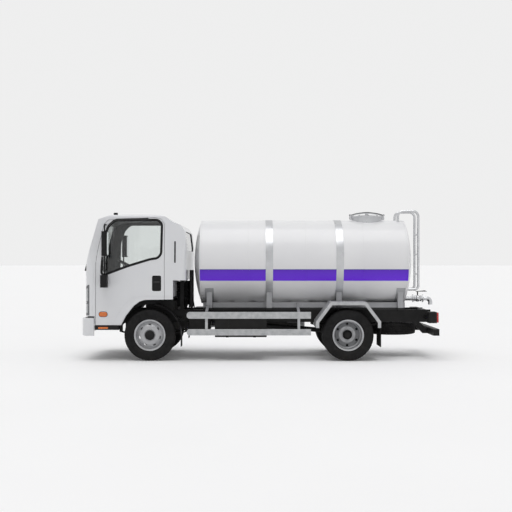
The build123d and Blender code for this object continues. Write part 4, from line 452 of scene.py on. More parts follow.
# What a look leaves out is taken from here; cloud and grain are the scales of mottle and moulded cells, and
# the painted shade entries give a height, the near-black tone of the painted shade below it and its soft
# edge
plainLook = dict(metallic=0.0, coat=0.0, spec=0.5, spread=0.05, sheen=2.3, cloud=3.0, grain=700.0,
                 bump=0.2, depth=0.0004, dust=0.0, strokes=None, ring=None, paintedShadeBelow=None,
                 paintedShadeTone=(14, 14, 15), paintedShadeSoft=0.001)
dirt = {"tone": colour(120, 112, 100), "foot": 0.1, "top": 1.1}
looks = {
    "cabPaint": dict(first=(226, 227, 229), second=(221, 222, 225), rough=0.34, spread=0.03, coat=0.5,
                     cloud=1.6, grain=260.0, bump=0.05, depth=0.0002, dust=0.08),
    "framePaint": dict(first=(15, 15, 16), second=(22, 22, 23), rough=0.5, spread=0.1, spec=0.25,
                       cloud=6.0, grain=500.0, bump=0.25, dust=0.05),
    # the subframe's faces below 0.79 m get a near-black painted shade, standing in for the shadow under the
    # tank
    "subframePaint": dict(first=(182, 183, 185), second=(168, 169, 172), rough=0.42, cloud=4.0,
                          grain=400.0, bump=0.12, dust=0.15, paintedShadeBelow=0.79),
    "polished": dict(first=(200, 201, 203), second=(186, 187, 190), rough=0.32, metallic=1.0,
                     cloud=5.0, strokes=(30.0, 900.0, 900.0), bump=0.08, depth=0.0002),
    "tubeSteel": dict(first=(212, 213, 215), second=(196, 197, 199), rough=0.27, spread=0.06,
                      metallic=1.0, cloud=8.0, strokes=(90.0, 90.0, 6.0), bump=0.03, depth=0.0001),
    "galvanised": dict(first=(192, 193, 194), second=(172, 174, 176), rough=0.42, spread=0.08,
                       metallic=0.75, cloud=14.0, strokes=(24.0, 600.0, 600.0), bump=0.15,
                       depth=0.0003, dust=0.1),
    "rimPaint": dict(first=(184, 185, 187), second=(168, 169, 172), rough=0.36, spread=0.06,
                     metallic=0.45, cloud=9.0, grain=420.0, bump=0.1, dust=0.15),
    "rubber": dict(first=(20, 20, 21), second=(29, 29, 30), rough=0.75, spread=0.1, spec=0.2,
                   cloud=10.0, grain=380.0, bump=0.3, depth=0.0005, dust=0.05),
    "plastic": dict(first=(15, 15, 16), second=(22, 22, 23), rough=0.55, spread=0.06, spec=0.25,
                    cloud=9.0, grain=900.0, bump=0.35, depth=0.0003, dust=0.05),
    "gloss": dict(first=(16, 16, 17), second=(22, 22, 23), rough=0.18, spread=0.04, cloud=6.0,
                  grain=120.0, bump=0.03, depth=0.0002),
    "trim": dict(first=(66, 67, 69), second=(76, 77, 79), rough=0.62, cloud=7.0, grain=800.0, bump=0.4),
    "cast": dict(first=(44, 44, 45), second=(60, 58, 56), rough=0.62, spread=0.1, cloud=12.0,
                 grain=160.0, bump=0.5, depth=0.001, dust=0.2),
    "lampBody": dict(first=(116, 117, 119), second=(98, 99, 102), rough=0.25, metallic=0.4,
                     cloud=12.0, grain=300.0, bump=0.05, depth=0.0002),
    "chrome": dict(first=(232, 233, 235), second=(222, 223, 226), rough=0.08, spread=0.03,
                   metallic=1.0, cloud=9.0, grain=300.0, bump=0.02, depth=0.0001),
}
# the rear rims have a painted shade: a darker ring between two radii round the axle at (x, z), for the
# shade in the deep dish
looks["rearRimShadedPaint"] = dict(looks["rimPaint"], ring=(-1.320, 0.392, 0.124, 0.192), ringShadeTone=(118, 119, 121))


def shadeRingMask(tree, place, axleX, axleZ, near, far, soft=0.003):
    # one between two radii round a wheel's axis, where the rear rims get their painted shade: the radius is
    # sqrt((x - axleX)^2 + (z - axleZ)^2)
    runs = [mathOf(tree, "SUBTRACT", axisOf(tree, place, a), at) for a, at in (("X", axleX), ("Z", axleZ))]
    squares = [mathOf(tree, "MULTIPLY", run, run) for run in runs]
    radius = mathOf(tree, "SQRT", mathOf(tree, "ADD", *squares))
    edges = [rangeOf(tree, radius, near, near + soft), rangeOf(tree, radius, far, far - soft)]
    return mathOf(tree, "MULTIPLY", *edges)


def surfaceMaterial(name, given):
    # the common build: mottled and dusty colour, wandering roughness and a bump of grain or strokes
    look = {**plainLook, **given}
    material, tree, inputs, place = startMaterial(
        name, look["rough"], look["metallic"], look["coat"], look["spec"]
    )
    shown = mottled(tree, place, colour(*look["first"]), colour(*look["second"]), look["cloud"])
    if look["dust"]:
        shown = dusted(tree, place, shown, dirt["tone"], dirt["foot"], dirt["top"], look["dust"])
    # painted shade: a darker ring on the rear rims' dish
    if look["ring"]:
        shown = mixOf(tree, shadeRingMask(tree, place, *look["ring"]), shown, colour(*look["ringShadeTone"]))
    # painted shade: faces below a height are mixed into a near-black tone, for the shadow under the tank
    if look["paintedShadeBelow"]:
        edge = look["paintedShadeBelow"]
        paintedShadeShare = rangeOf(tree, axisOf(tree, place, "Z"), edge + look["paintedShadeSoft"], edge)
        shown = mixOf(tree, paintedShadeShare, shown, colour(*look["paintedShadeTone"]))
    join(tree, shown, inputs["Base Color"])
    roughen(tree, place, inputs, look["rough"], look["spread"], look["cloud"] * look["sheen"])
    if look["strokes"]:
        height = useGroup(tree, "strokes", "Height", Place=place, Stretch=look["strokes"])
    else:
        height = useGroup(tree, "grain", "Height", Place=place, Scale=look["grain"])
    lift(tree, inputs, height, look["bump"], look["depth"])
    return material


tankLook = {
    "white": colour(236, 236, 237), "cloudy": colour(231, 231, 233), "cloud": 1.3, "rough": 0.33,
    "coat": 0.35, "spec": 0.38, "violet": colour(106, 6, 236), "deep": colour(58, 10, 140),
    "foot": 1.216, "top": 1.399, "rear": -2.292, "front": 0.963, "soft": 0.0016, "edge": 0.012,
    "fadeFrom": 0.03, "fade": 0.45, "dust": colour(128, 122, 112), "dustFoot": 0.8, "dustTop": 1.3,
    "dustAmount": 0.08, "spread": 0.03, "sheen": 3.0, "peel": 240.0, "bump": 0.05, "depth": 0.0002,
}


def tankMaterial(look):
    # white paint with the violet stripe: the band mask chooses the colour, and a narrow one darkens its top
    material, tree, inputs, place = startMaterial(
        "tankPaint", look["rough"], coat=look["coat"], spec=look["spec"]
    )
    white = mottled(tree, place, look["white"], look["cloudy"], look["cloud"])
    span = {"Place": place, "Rear": look["rear"], "Front": look["front"], "Soft": look["soft"]}
    stripe = useGroup(tree, "band", "Mask", Foot=look["foot"], Top=look["top"], **span)
    upper = useGroup(tree, "band", "Mask", Foot=look["top"] - look["edge"], Top=look["top"], **span)
    height = axisOf(tree, place, "Z")
    fade = rangeOf(tree, height, look["foot"] + look["fadeFrom"], look["top"], 0.0, look["fade"])
    violet = mixOf(tree, upper, mixOf(tree, fade, look["violet"], look["deep"]), look["deep"])
    painted = mixOf(tree, stripe, white, violet)
    dirty = (look["dust"], look["dustFoot"], look["dustTop"], look["dustAmount"])
    join(tree, dusted(tree, place, painted, *dirty), inputs["Base Color"])
    roughen(tree, place, inputs, look["rough"], look["spread"], look["sheen"])
    peel = useGroup(tree, "grain", "Height", Place=place, Scale=look["peel"])
    lift(tree, inputs, peel, look["bump"], look["depth"])
    return material


glassLook = {"ior": 1.45, "cloud": 2.0, "spread": 0.6, "sheen": 5.0}


def glassMaterial(name, tint, rough):
    # clear glass: plain transmission, with a faint film of dust in the roughness
    material, tree, inputs, place = startMaterial(name, rough)
    inputs["Transmission Weight"].default_value = 1.0
    inputs["IOR"].default_value = glassLook["ior"]
    join(tree, mottled(tree, place, tint, tint, glassLook["cloud"]), inputs["Base Color"])
    roughen(tree, place, inputs, rough, rough * glassLook["spread"], glassLook["sheen"])
    return material


lensLook = {"rough": 0.12, "coat": 0.6, "cloud": 30.0, "spread": 0.04, "sheen": 20.0, "bump": 0.35,
            "depth": 0.001}


def lensMaterial(name, first, second, ribs):
    # coloured lamp plastic with fine moulded ribs
    material, tree, inputs, place = startMaterial(name, lensLook["rough"], coat=lensLook["coat"])
    join(tree, mottled(tree, place, first, second, lensLook["cloud"]), inputs["Base Color"])
    roughen(tree, place, inputs, lensLook["rough"], lensLook["spread"], lensLook["sheen"])
    height = useGroup(tree, "weave", "Height", Place=place, Pitch=ribs)
    lift(tree, inputs, height, lensLook["bump"], lensLook["depth"])
    return material


clothLook = {"low": colour(48, 49, 52), "high": colour(72, 74, 79), "worn": colour(56, 57, 60),
             "cloud": 9.0, "wear": 0.6, "pitch": 2200.0, "fuzz": 0.3, "plainRough": 0.9, "rough": 0.88,
             "spread": 0.06, "sheen": 14.0, "bump": 0.6, "depth": 0.0006}


def clothMaterial(look):
    # woven seat cloth: the thread height shades the colour and lifts the surface
    material, tree, inputs, place = startMaterial("seatCloth", look["plainRough"])
    inputs["Sheen Weight"].default_value = look["fuzz"]
    threads = useGroup(tree, "weave", "Height", Place=place, Pitch=look["pitch"])
    base = mixOf(tree, threads, look["low"], look["high"])
    join(tree, mottled(tree, place, base, look["worn"], look["cloud"], look["wear"]), inputs["Base Color"])
    roughen(tree, place, inputs, look["rough"], look["spread"], look["sheen"])
    lift(tree, inputs, threads, look["bump"], look["depth"])
    return material


finish = {name: surfaceMaterial(name, look) for name, look in looks.items()}
finish["tankPaint"] = tankMaterial(tankLook)
finish["glass"] = glassMaterial("windowGlass", colour(238, 241, 240), 0.02)
finish["clear"] = glassMaterial("lampGlass", colour(246, 248, 250), 0.03)
finish["redLens"] = lensMaterial("redLens", colour(200, 22, 20), colour(168, 12, 14), 900.0)
finish["amberLens"] = lensMaterial("amberLens", colour(226, 116, 24), colour(205, 96, 14), 900.0)
finish["greyLens"] = lensMaterial("greyLens", colour(176, 178, 180), colour(156, 158, 161), 700.0)
finish["cloth"] = clothMaterial(clothLook)
print("finishes made:", len(finish))

# CAD nodes: the record's slot of each node chooses its finish
slotFinish = {
    "cab_paint": "cabPaint", "tank_paint": "tankPaint", "frame_paint": "framePaint",
    "subframe_paint": "subframePaint", "polished_steel": "polished", "galvanised": "galvanised",
    "rim_paint": "rimPaint", "tyre_rubber": "rubber", "black_rubber": "rubber", "black_plastic": "plastic",
    "lamp_plastic": "lampBody", "red_lens": "plastic", "trim_plastic": "trim", "seat_cloth": "cloth",
    "window_glass": "glass", "cast": "cast",
}
for subpart in frame["record"]["subparts"]:
    mesh = nodes[subpart["node"]].data
    mesh.materials.clear()
    mesh.materials.append(finish[slotFinish[subpart["material_slot"]]])
nodes["ladder"].data.materials[0] = finish["tubeSteel"]


def faceArrays(node):
    # the middles and normals of a CAD node's faces
    mesh = nodes[node].data
    middles, normals = np.zeros(len(mesh.polygons) * 3), np.zeros(len(mesh.polygons) * 3)
    mesh.polygons.foreach_get("center", middles)
    mesh.polygons.foreach_get("normal", normals)
    return middles.reshape(-1, 3), normals.reshape(-1, 3)


def paintFaces(node, finishes, chosen):
    # gives each face of a CAD node the finish whose number the chosen array holds
    mesh = nodes[node].data
    mesh.materials.clear()
    for name in finishes:
        mesh.materials.append(finish[name])
    mesh.polygons.foreach_set("material_index", chosen.astype(np.int32))
    mesh.update()


cab = {
    "rear": 1.152, "front": 2.725, "foot": 0.548, "top": 2.259, "half": 0.930,
    "skinShares": (0.44, 0.62, 0.985), "skinWidths": (1.0, 0.985, 0.925),
    "corner": 0.15, "flat": 0.78, "bow": 14.43, "cornerX": 2.554,
}
# where the cab shell changes its finish: spans of x, y or z, and depths under the skin
shellParts = {
    "middle": (1.95, 0.0, 1.5), "insideX": (1.17, 2.69), "insideZ": (0.6, 2.235), "lining": 0.02,
    "skin": 0.006, "archTop": 0.985, "archFront": 2.30, "stepTop": 1.25, "downward": -0.6,
    "tunnelTop": 0.84, "tunnelHalf": 0.62, "ventX": (1.30, 1.345), "ventZ": (1.49, 1.84), "ventY": 0.88,
    "pocketRear": 2.66, "pocketZ": (0.93, 1.13), "pocketHalf": 0.70, "pocketDepth": 0.012,
}
doorParts = {
    "handleX": (1.535, 1.672), "handleZ": (1.068, 1.30), "handleDepth": 0.001, "edgeX": (1.54, 2.435),
    "edgeZ": (1.31, 2.145), "edgeDepth": 0.0005, "lining": 0.02, "across": 0.5,
}
shellFinishes = ["cabPaint", "trim", "plastic"]


def skinY(z):
    # the cab side's distance from the middle at a height: straight runs between its front view's corners
    share = (np.asarray(z) - cab["foot"]) / (cab["top"] - cab["foot"])
    return cab["half"] * np.interp(share, cab["skinShares"], cab["skinWidths"])


def frontX(y):
    # the cab front's reach at a distance from the middle: a shallow bow, then the round of the corner
    y = np.abs(np.asarray(y, float))
    cornerReach = cab["cornerX"] + np.sqrt(np.clip(cab["corner"] ** 2 - (y - cab["flat"]) ** 2, 0, None))
    return np.where(y < cab["flat"], cab["front"] - y**2 / (2 * cab["bow"]), cornerReach)


def dressCab(parts):
    # outside white, inside trim, and black under the floor and in the wheel arches
    middle, normal = faceArrays("cab_shell")
    x, y, z = middle.T
    inside = between(x, parts["insideX"]) & between(z, parts["insideZ"])
    inside &= np.abs(y) < skinY(z) - parts["lining"]
    inside &= (normal * (np.array(parts["middle"]) - middle)).sum(1) > 0
    onSkin = np.abs(y) > skinY(z) - parts["skin"]
    under = (z < parts["archTop"]) & ~onSkin & (x < parts["archFront"])
    under |= (z < parts["stepTop"]) & (normal[:, 2] < parts["downward"])
    under |= (z < parts["tunnelTop"]) & (np.abs(y) < parts["tunnelHalf"]) & (x < parts["insideX"][1])
    vent = between(x, parts["ventX"]) & between(z, parts["ventZ"]) & ~onSkin & (np.abs(y) > parts["ventY"])
    pocket = (x > parts["pocketRear"]) & (x < frontX(y) - parts["pocketDepth"])
    pocket &= between(z, parts["pocketZ"]) & (np.abs(y) < parts["pocketHalf"]) & (normal[:, 0] > 0)
    paintFaces("cab_shell", shellFinishes, np.where(under | vent | pocket, 2, np.where(inside, 1, 0)))


def dressDoor(side, sign, parts):
    # outside white, inside trim, and black in the handle's hollow and round the window's edge
    middle, normal = faceArrays("door_" + side)
    x, z = middle[:, 0], middle[:, 2]
    outward = normal[:, 1] * sign
    depth = skinY(z) - np.abs(middle[:, 1])
    handle = between(x, parts["handleX"]) & between(z, parts["handleZ"]) & (depth > parts["handleDepth"])
    edge = between(x, parts["edgeX"]) & between(z, parts["edgeZ"]) & (depth > parts["edgeDepth"])
    edge &= np.abs(outward) < parts["across"]
    inside = (outward < -parts["across"]) & (depth > parts["lining"])
    paintFaces("door_" + side, shellFinishes, np.where(handle | edge, 2, np.where(inside, 1, 0)))


dressCab(shellParts)
for side, sign in sides:
    dressDoor(side, sign, doorParts)
print("frame dressed")

# Tyres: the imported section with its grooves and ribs
tyre = {
    "bead": 0.222, "height": 0.170, "half": 0.100, "around": 288, "pitches": 48, "treadSteps": 56,
    "wallSteps": 3, "sharp": 50, "treadHalf": 0.735, "crownDrop": 0.02, "groove": 0.0085, "zigzag": 0.0035,
    "lines": (-0.040, -0.0135, 0.0135, 0.040), "lineHalf": 0.0032,
    "shoulder": 0.050, "slotFrom": 0.62, "slotDepth": 0.8,
    "sipeReach": 0.036, "sipeAt": 0.25, "sipeHalf": 0.09, "sipeDepth": 0.45,
    "ribs": (0.30, 0.62, 0.665, 0.71), "ribHalf": 0.008, "ribRise": 0.0012,
    "section": ((0.0, 0.71), (0.05, 0.725), (0.112, 0.76), (0.17, 0.86), (0.24, 0.935), (0.36, 0.985),
                (0.5, 0.998), (0.64, 0.988), (0.78, 0.955), (0.88, 0.905), (0.955, 0.835)),
}


def treadCut(across, angle):
    # how deep the tread is cut, as a share of the groove: zigzag lines, shoulder slots and short sipes
    phase = (angle * tyre["pitches"] / (2 * np.pi)) % 1.0
    wave = tyre["zigzag"] * (np.abs(2 * phase - 1) * 2 - 1)
    cuts = [np.abs(across - line - wave) < tyre["lineHalf"] for line in tyre["lines"]]
    slots = (np.abs(across) > tyre["shoulder"]) & (phase > tyre["slotFrom"])
    sipes = (np.abs(across) < tyre["sipeReach"]) & (np.abs(phase - tyre["sipeAt"]) < tyre["sipeHalf"])
    return np.max([*cuts, slots * tyre["slotDepth"], sipes * tyre["sipeDepth"]], axis=0)


def tyreShape(centre, axis="y"):
    # a closed section turned round the axis: one wall with its ribs, the crowned tread and the other wall,
    # where crown is bead + height * (1 - drop * (across / reach)^4) and the tread's cuts are taken off
    shares = np.array(tyre["section"])
    fine = np.linspace(0, len(shares) - 1, tyre["wallSteps"] * (len(shares) - 1) + 1)
    rise, width = [np.interp(fine, np.arange(len(shares)), column) for column in shares.T]
    for rib in tyre["ribs"]:
        width = width + tyre["ribRise"] / tyre["half"] * np.exp(-(((rise - rib) / tyre["ribHalf"]) ** 2))
    wall = tyre["bead"] + tyre["height"] * rise
    reach = tyre["treadHalf"] * tyre["half"]
    across = np.linspace(-1, 1, tyre["treadSteps"]) * reach
    crown = tyre["bead"] + tyre["height"] * (1 - tyre["crownDrop"] * (across / reach) ** 4)
    angle = turnAngles(tyre["around"])[None]
    radii = np.concatenate([wall, crown, wall[::-1]])[:, None] + 0 * angle
    radii[len(wall):-len(wall)] -= tyre["groove"] * treadCut(across[:, None], angle)
    along = np.concatenate([-width * tyre["half"], across, width[::-1] * tyre["half"]])[:, None]
    points = facing(along, radii * np.cos(angle), radii * np.sin(angle), axis) + np.asarray(centre)
    return points, gridQuads(len(radii), tyre["around"], True, True)


wheels = {"frontX": 1.710, "rearX": -1.320, "z": 0.392, "frontY": 0.820, "outerY": 0.850, "innerY": 0.614}
for side, sign in sides:
    frontTyre = tyreShape((wheels["frontX"], sign * wheels["frontY"], wheels["z"]))
    piece("frontTyre_" + side, frontTyre, "rubber", "front_wheel_" + side, tyre["sharp"],
          ["front_tyre_" + side])
    pair = [tyreShape((wheels["rearX"], sign * wheels[key], wheels["z"])) for key in ("outerY", "innerY")]
    piece("rearTyres_" + side, stacked(pair), "rubber", "rear_wheels_" + side, tyre["sharp"],
          ["rear_tyres_" + side])
print("tyres made")

# Wheels: painted shade on the wells and backs, so the slots and holes look deep, and black covers on the
# hubs
rims = {"across": 0.4, "planes": (("front_rim_", 0.850, "rimPaint"), ("rear_rims_", 0.740, "rearRimShadedPaint"))}
hub = {
    "turns": 64, "frontFace": 0.916, "rearFace": 0.811,
    "front": ((0, 0.012), (0.030, 0.012), (0.036, 0.009), (0.058, 0.008), (0.073, -0.002), (0.073, -0.02),
              (0, -0.02)),
    "rear": ((0, 0.036), (0.030, 0.034), (0.048, 0.028), (0.060, 0.016), (0.066, 0.003), (0.072, 0.0015),
             (0.072, -0.01), (0, -0.01)),
}


def dressRims(side):
    # painted shade: the dark cast finish where a face looks inward, or lies across and further in than the
    # disc's plane, stands in for the shade in the wells and behind the slots
    for node, plane, paint in rims["planes"]:
        middle, normal = faceArrays(node + side)
        outward = normal[:, 1] * np.sign(middle[:, 1])
        across = np.abs(outward) < rims["across"]
        # painted shade: these deep faces take the dark cast finish instead of the rim's paint
        deep = (outward < -rims["across"]) | (across & (np.abs(middle[:, 1]) < plane))
        paintFaces(node + side, [paint, "cast"], deep)


def makeHub(side, sign):
    # a stepped cap on the front hub and a dome on the rear one
    for key, body in (("front", "front_wheel_"), ("rear", "rear_wheels_")):
        profile = [(radius, sign * (hub[key + "Face"] + along)) for radius, along in hub[key]]
        shape = turned(profile, (wheels[key + "X"], 0, wheels["z"]), "y", hub["turns"])
        piece(key + "Hub_" + side, shape, "plastic", body + side)


for side, sign in sides:
    dressRims(side)
    makeHub(side, sign)
print("hubs made")

spare = {
    "place": (-2.103, 0.0, 0.452), "hangerPlace": (-2.103, 0.0, 0.0), "rimTurns": 96, "hangerTurns": 32,
    "hanger": ((0, 0.49), (0.024, 0.49), (0.024, 0.689), (0, 0.689)),
    "rim": ((0, 0.012), (0.06, 0.012), (0.065, 0.0), (0.15, 0.0), (0.175, 0.02), (0.2, 0.02), (0.2, 0.07),
            (0.224, 0.082), (0.238, 0.094), (0.238, 0.088), (0.226, 0.076), (0.206, 0.064), (0.206, -0.064),
            (0.226, -0.076), (0.238, -0.088), (0.238, -0.094), (0.224, -0.082), (0.2, -0.07), (0.2, 0.012),
            (0.175, 0.012), (0.15, -0.008), (0, -0.008)),
}
spareRim = turned(spare["rim"], spare["place"], "z", spare["rimTurns"])
spareHanger = turned(spare["hanger"], spare["hangerPlace"], "z", spare["hangerTurns"])
piece("spareTyre", tyreShape(spare["place"], "z"), "rubber", "chassis", tyre["sharp"],
      ["spare_wheel"])
piece("spareRim", spareRim, "rimPaint", "chassis", replaces=["spare_wheel"])
piece("spareHanger", spareHanger, "framePaint", "chassis", replaces=["spare_wheel"])
print("spare wheel made")


# Cab trim: what lies on the side's skin is made on the left and mirrored for the right
def cabPoints(shares):
    # shares of the cab's length and height, as (x, z)
    size = (cab["front"] - cab["rear"], cab["top"] - cab["foot"])
    return np.array(shares) * size + (cab["rear"], cab["foot"])


def frontPoints(shares):
    # shares of the cab's half width and height, as (y, z)
    return np.array(shares) * (cab["half"], cab["top"] - cab["foot"]) + (0, cab["foot"])


def onSide(flat, rise):
    # (x, z) on the side's skin, lifted outward
    return facing(skinY(flat[..., 1]) + rise, flat[..., 0], flat[..., 1], "y")


def onFront(flat, rise):
    # (y, z) on the front's skin, lifted forward
    return facing(frontX(flat[..., 0]) + rise, flat[..., 0], flat[..., 1], "x")


def onMirror(flat, rise):
    # (y, z) on the mirror's face, lifted forward
    return facing(mirrorGlass["reach"][1] + rise, flat[..., 0], flat[..., 1], "x")


def onDoors(name, shape, look):
    # the shape on the left door and its mirror image on the right one
    for side, made in (("left", shape), ("right", mirrored(shape))):
        piece(name + "_" + side, made, look, side + "_door")


window = {
    "shares": ((0.812, 0.453), (0.799, 0.759), (0.752, 0.878), (0.688, 0.930), (0.284, 0.930),
               (0.250, 0.902), (0.255, 0.638), (0.285, 0.606), (0.352, 0.598), (0.572, 0.536)),
    "bend": 0.045, "rows": ((-0.0015, -0.008), (0.0, 0.003), (0.005, 0.0045), (0.030, 0.0045),
                            (0.036, 0.0015), (0.036, -0.003)),
    "visor": ((2.352, 2.062), (2.250, 2.160), (1.735, 2.172)), "visorBend": 0.05,
    "visorBox": ((0, 0), (0.005, 0.030), 0.002, 3), "visorLift": 0.006,
}
windowOutline = rounded(cabPoints(window["shares"]), window["bend"])
onDoors("windowFrame", rimStrip(windowOutline, window["rows"], onSide), "plastic")
visorPath = onSide(bent(window["visor"], window["visorBend"]), window["visorLift"])
rainVisor = carried(visorPath, roundedBox(*window["visorBox"]), (0, 0, 1))
onDoors("rainVisor", rainVisor, "gloss")

handle = {
    "shares": ((0.245, 0.306), (0.329, 0.306), (0.329, 0.438), (0.245, 0.438)), "bend": 0.030,
    "rows": ((0, -0.0075), (0.90, -0.0075), (0.95, 0.001), (1.0, 0.002), (1.05, 0.001), (1.06, -0.003)),
    "bar": ((1.603, 1.205), (0.104, 0.034), 0.014), "reach": (0.922, 0.940), "edge": 0.004,
}
handleOutline = rounded(cabPoints(handle["shares"]), handle["bend"])
handleBar = slab(roundedBox(*handle["bar"]), *handle["reach"], "y", handle["edge"])
onDoors("handlePlate", filled(handleOutline, handle["rows"], onSide), "plastic")
onDoors("handleBar", handleBar, "gloss")

sideLamp = {
    "outline": ((2.418, 0.713), (0.128, 0.074), 0.036, 9),
    "lens": ((0, 0.012), (0.55, 0.0115), (0.85, 0.009), (0.97, 0.004), (0.97, -0.003)),
    "base": ((-0.003, -0.004), (-0.002, 0.005), (0.003, 0.004), (0.006, -0.003)),
}
lampOutline = roundedBox(*sideLamp["outline"])
onDoors("sideLamp", filled(lampOutline, sideLamp["lens"], onSide), "amberLens")
onDoors("sideLampBase", rimStrip(lampOutline, sideLamp["base"], onSide), "plastic")

mirrorGlass = {
    "outline": ((1.075, 1.7875), (0.152, 0.340), 0.024), "reach": (2.3265, 2.331), "edge": 0.001,
    "bezel": ((-0.002, 0.0), (0.0, -0.005), (0.008, -0.004), (0.010, 0.002)),
}
glassOutline = roundedBox(*mirrorGlass["outline"])
mirrorPane = slab(glassOutline, *mirrorGlass["reach"], "x", mirrorGlass["edge"])
onDoors("mirrorGlass", mirrorPane, "chrome")
onDoors("mirrorBezel", rimStrip(glassOutline, mirrorGlass["bezel"], onMirror), "plastic")

lamp = {
    "shares": (((0.82, 0.105), (0.955, 0.105), (0.955, 0.188), (0.82, 0.188)),
               ((0.82, 0.21), (0.955, 0.21), (0.955, 0.333), (0.9, 0.325), (0.82, 0.303))),
    "bend": 0.016, "rows": ((0, 0.0), (0.6, 0.0), (0.93, -0.0005), (0.975, -0.003), (0.975, -0.0075)),
}
lenses = [filled(rounded(frontPoints(s), lamp["bend"]), lamp["rows"], onFront) for s in lamp["shares"]]
piece("headlampLenses", bothSides(stacked(lenses)), "greyLens", "cab")

marker = {
    "sill": ((2.4195, 0.5035), (0.150, 0.029), 0.010), "sillReach": (0.919, 0.9265), "sillEdge": 0.002,
    "roof": ((2.255, 0.745), (0.064, 0.040), 0.014), "roofReach": (2.222, 2.272), "roofEdge": 0.006,
}
sillMarker = slab(roundedBox(*marker["sill"]), *marker["sillReach"], "y", marker["sillEdge"])
roofMarker = slab(roundedBox(*marker["roof"]), *marker["roofReach"], "z", marker["roofEdge"])
piece("sillMarkers", bothSides(sillMarker), "amberLens", "cab")
piece("roofMarkers", bothSides(roofMarker), "plastic", "cab")

# Windscreen: its seal and wipers follow a surface fitted to the CAD glass:
# x = a + b y^2 + c z, lifted by the depth at which the glass is sunk
screen = {
    "shares": ((-0.87, 0.5), (0.87, 0.5), (0.82, 0.915), (-0.82, 0.915)), "sunk": 0.017, "glassFrom": 2.2,
    "steps": 9, "rows": ((-0.002, -0.012), (0.0, 0.004), (0.006, 0.007), (0.026, 0.006), (0.032, 0.0),
                         (0.032, -0.006)),
    "arms": (((0.46, 1.384), (0.20, 1.462)), ((-0.14, 1.384), (-0.40, 1.462))),
    "armLift": 0.024, "armRadius": 0.006, "bladeRun": (0.26946, -0.0162), "bladeLift": 0.010,
    "blade": ((0, 0), (0.010, 0.016), 0.003, 3),
    "hub": ((0, -0.01), (0.016, -0.01), (0.016, 0.028), (0, 0.032)), "hubTurns": 24,
}


def screenTerms(y, z):
    return np.stack([1 + 0 * y, y**2, z], -1)


glassMesh = nodes["cab_glass"].data
glassPoints = np.zeros(len(glassMesh.vertices) * 3)
glassMesh.vertices.foreach_get("co", glassPoints)
glassX, glassY, glassZ = glassPoints.reshape(-1, 3).T
onGlass = glassX > screen["glassFrom"]
screenFit = np.linalg.lstsq(screenTerms(glassY[onGlass], glassZ[onGlass]), glassX[onGlass], rcond=None)[0]


def onScreen(flat, rise):
    # (y, z) on the windscreen, lifted forward
    reach = screenTerms(flat[..., 0], flat[..., 1]) @ screenFit
    return facing(reach + screen["sunk"] + rise, flat[..., 0], flat[..., 1], "x")


def makeWiper(base, tip):
    # an arm from its hub to the middle of the blade that it carries
    base, tip = np.array(base), np.array(tip)
    along = np.linspace(0, 1, screen["steps"])[:, None]
    arm = onScreen(base + (tip - base) * along, screen["armLift"])
    blade = onScreen(tip + (along * 2 - 1) * screen["bladeRun"], screen["bladeLift"])
    return stacked([
        carried(arm, circle(screen["armRadius"]), (1, 0, 0)),
        carried(blade, roundedBox(*screen["blade"]), (1, 0, 0)),
        turned(screen["hub"], onScreen(base, 0.0), "x", screen["hubTurns"]),
    ])


corners = frontPoints(screen["shares"])
sealEdges = [np.linspace(a, b, screen["steps"])[:-1] for a, b in zip(corners, np.roll(corners, -1, 0))]
screenSeal = rimStrip(np.concatenate(sealEdges), screen["rows"], onScreen)
piece("screenSeal", screenSeal, "plastic", "cab")
piece("wipers", stacked([makeWiper(*arm) for arm in screen["arms"]]), "gloss", "cab")
print("cab trim made")

# Wheel arches: a black liner under each arch and a wall inside it, above the mudguard
arch = {
    "shares": ((0.128, 0.229), (0.401, 0.225), (0.453, 0.210), (0.512, 0.169), (0.586, 0.081),
               (0.631, 0.0)),
    "draw": 0.005, "inner": 0.70, "outer": 0.912, "wall": 0.004, "corner": 0.0015, "guard": 0.470,
    "angles": (137.0, 22.0), "count": 40,
}


def makeArch():
    # the liner is a flat band carried along the arch's outline drawn towards the axle, and the wall
    # spans from that outline to a part circle of the guard's radius round the axle
    axle = np.array([wheels["frontX"], wheels["z"]])
    path = evened(cabPoints(arch["shares"]), arch["count"])[0]
    outer = path + unit(axle - path) * arch["draw"]
    turn = np.radians(np.linspace(*arch["angles"], arch["count"]))
    guard = axle + arch["guard"] * np.stack([np.cos(turn), np.sin(turn)], -1)
    inner, far = arch["inner"], arch["inner"] + arch["wall"]
    band = roundedBox((0, 0), (arch["wall"], arch["outer"] - inner), arch["corner"], 2)
    liner = carried(np.insert(outer, 1, (inner + arch["outer"]) / 2, 1), band, (0, 1, 0))
    edges = ((guard, inner), (outer, inner), (outer, far), (guard, far))
    rings = [np.insert(edge, 1, y, 1) for edge, y in edges]
    return stacked([liner, (np.stack(rings), gridQuads(len(rings), arch["count"], True, False))])


piece("archLiners", bothSides(makeArch()), "plastic", "cab")

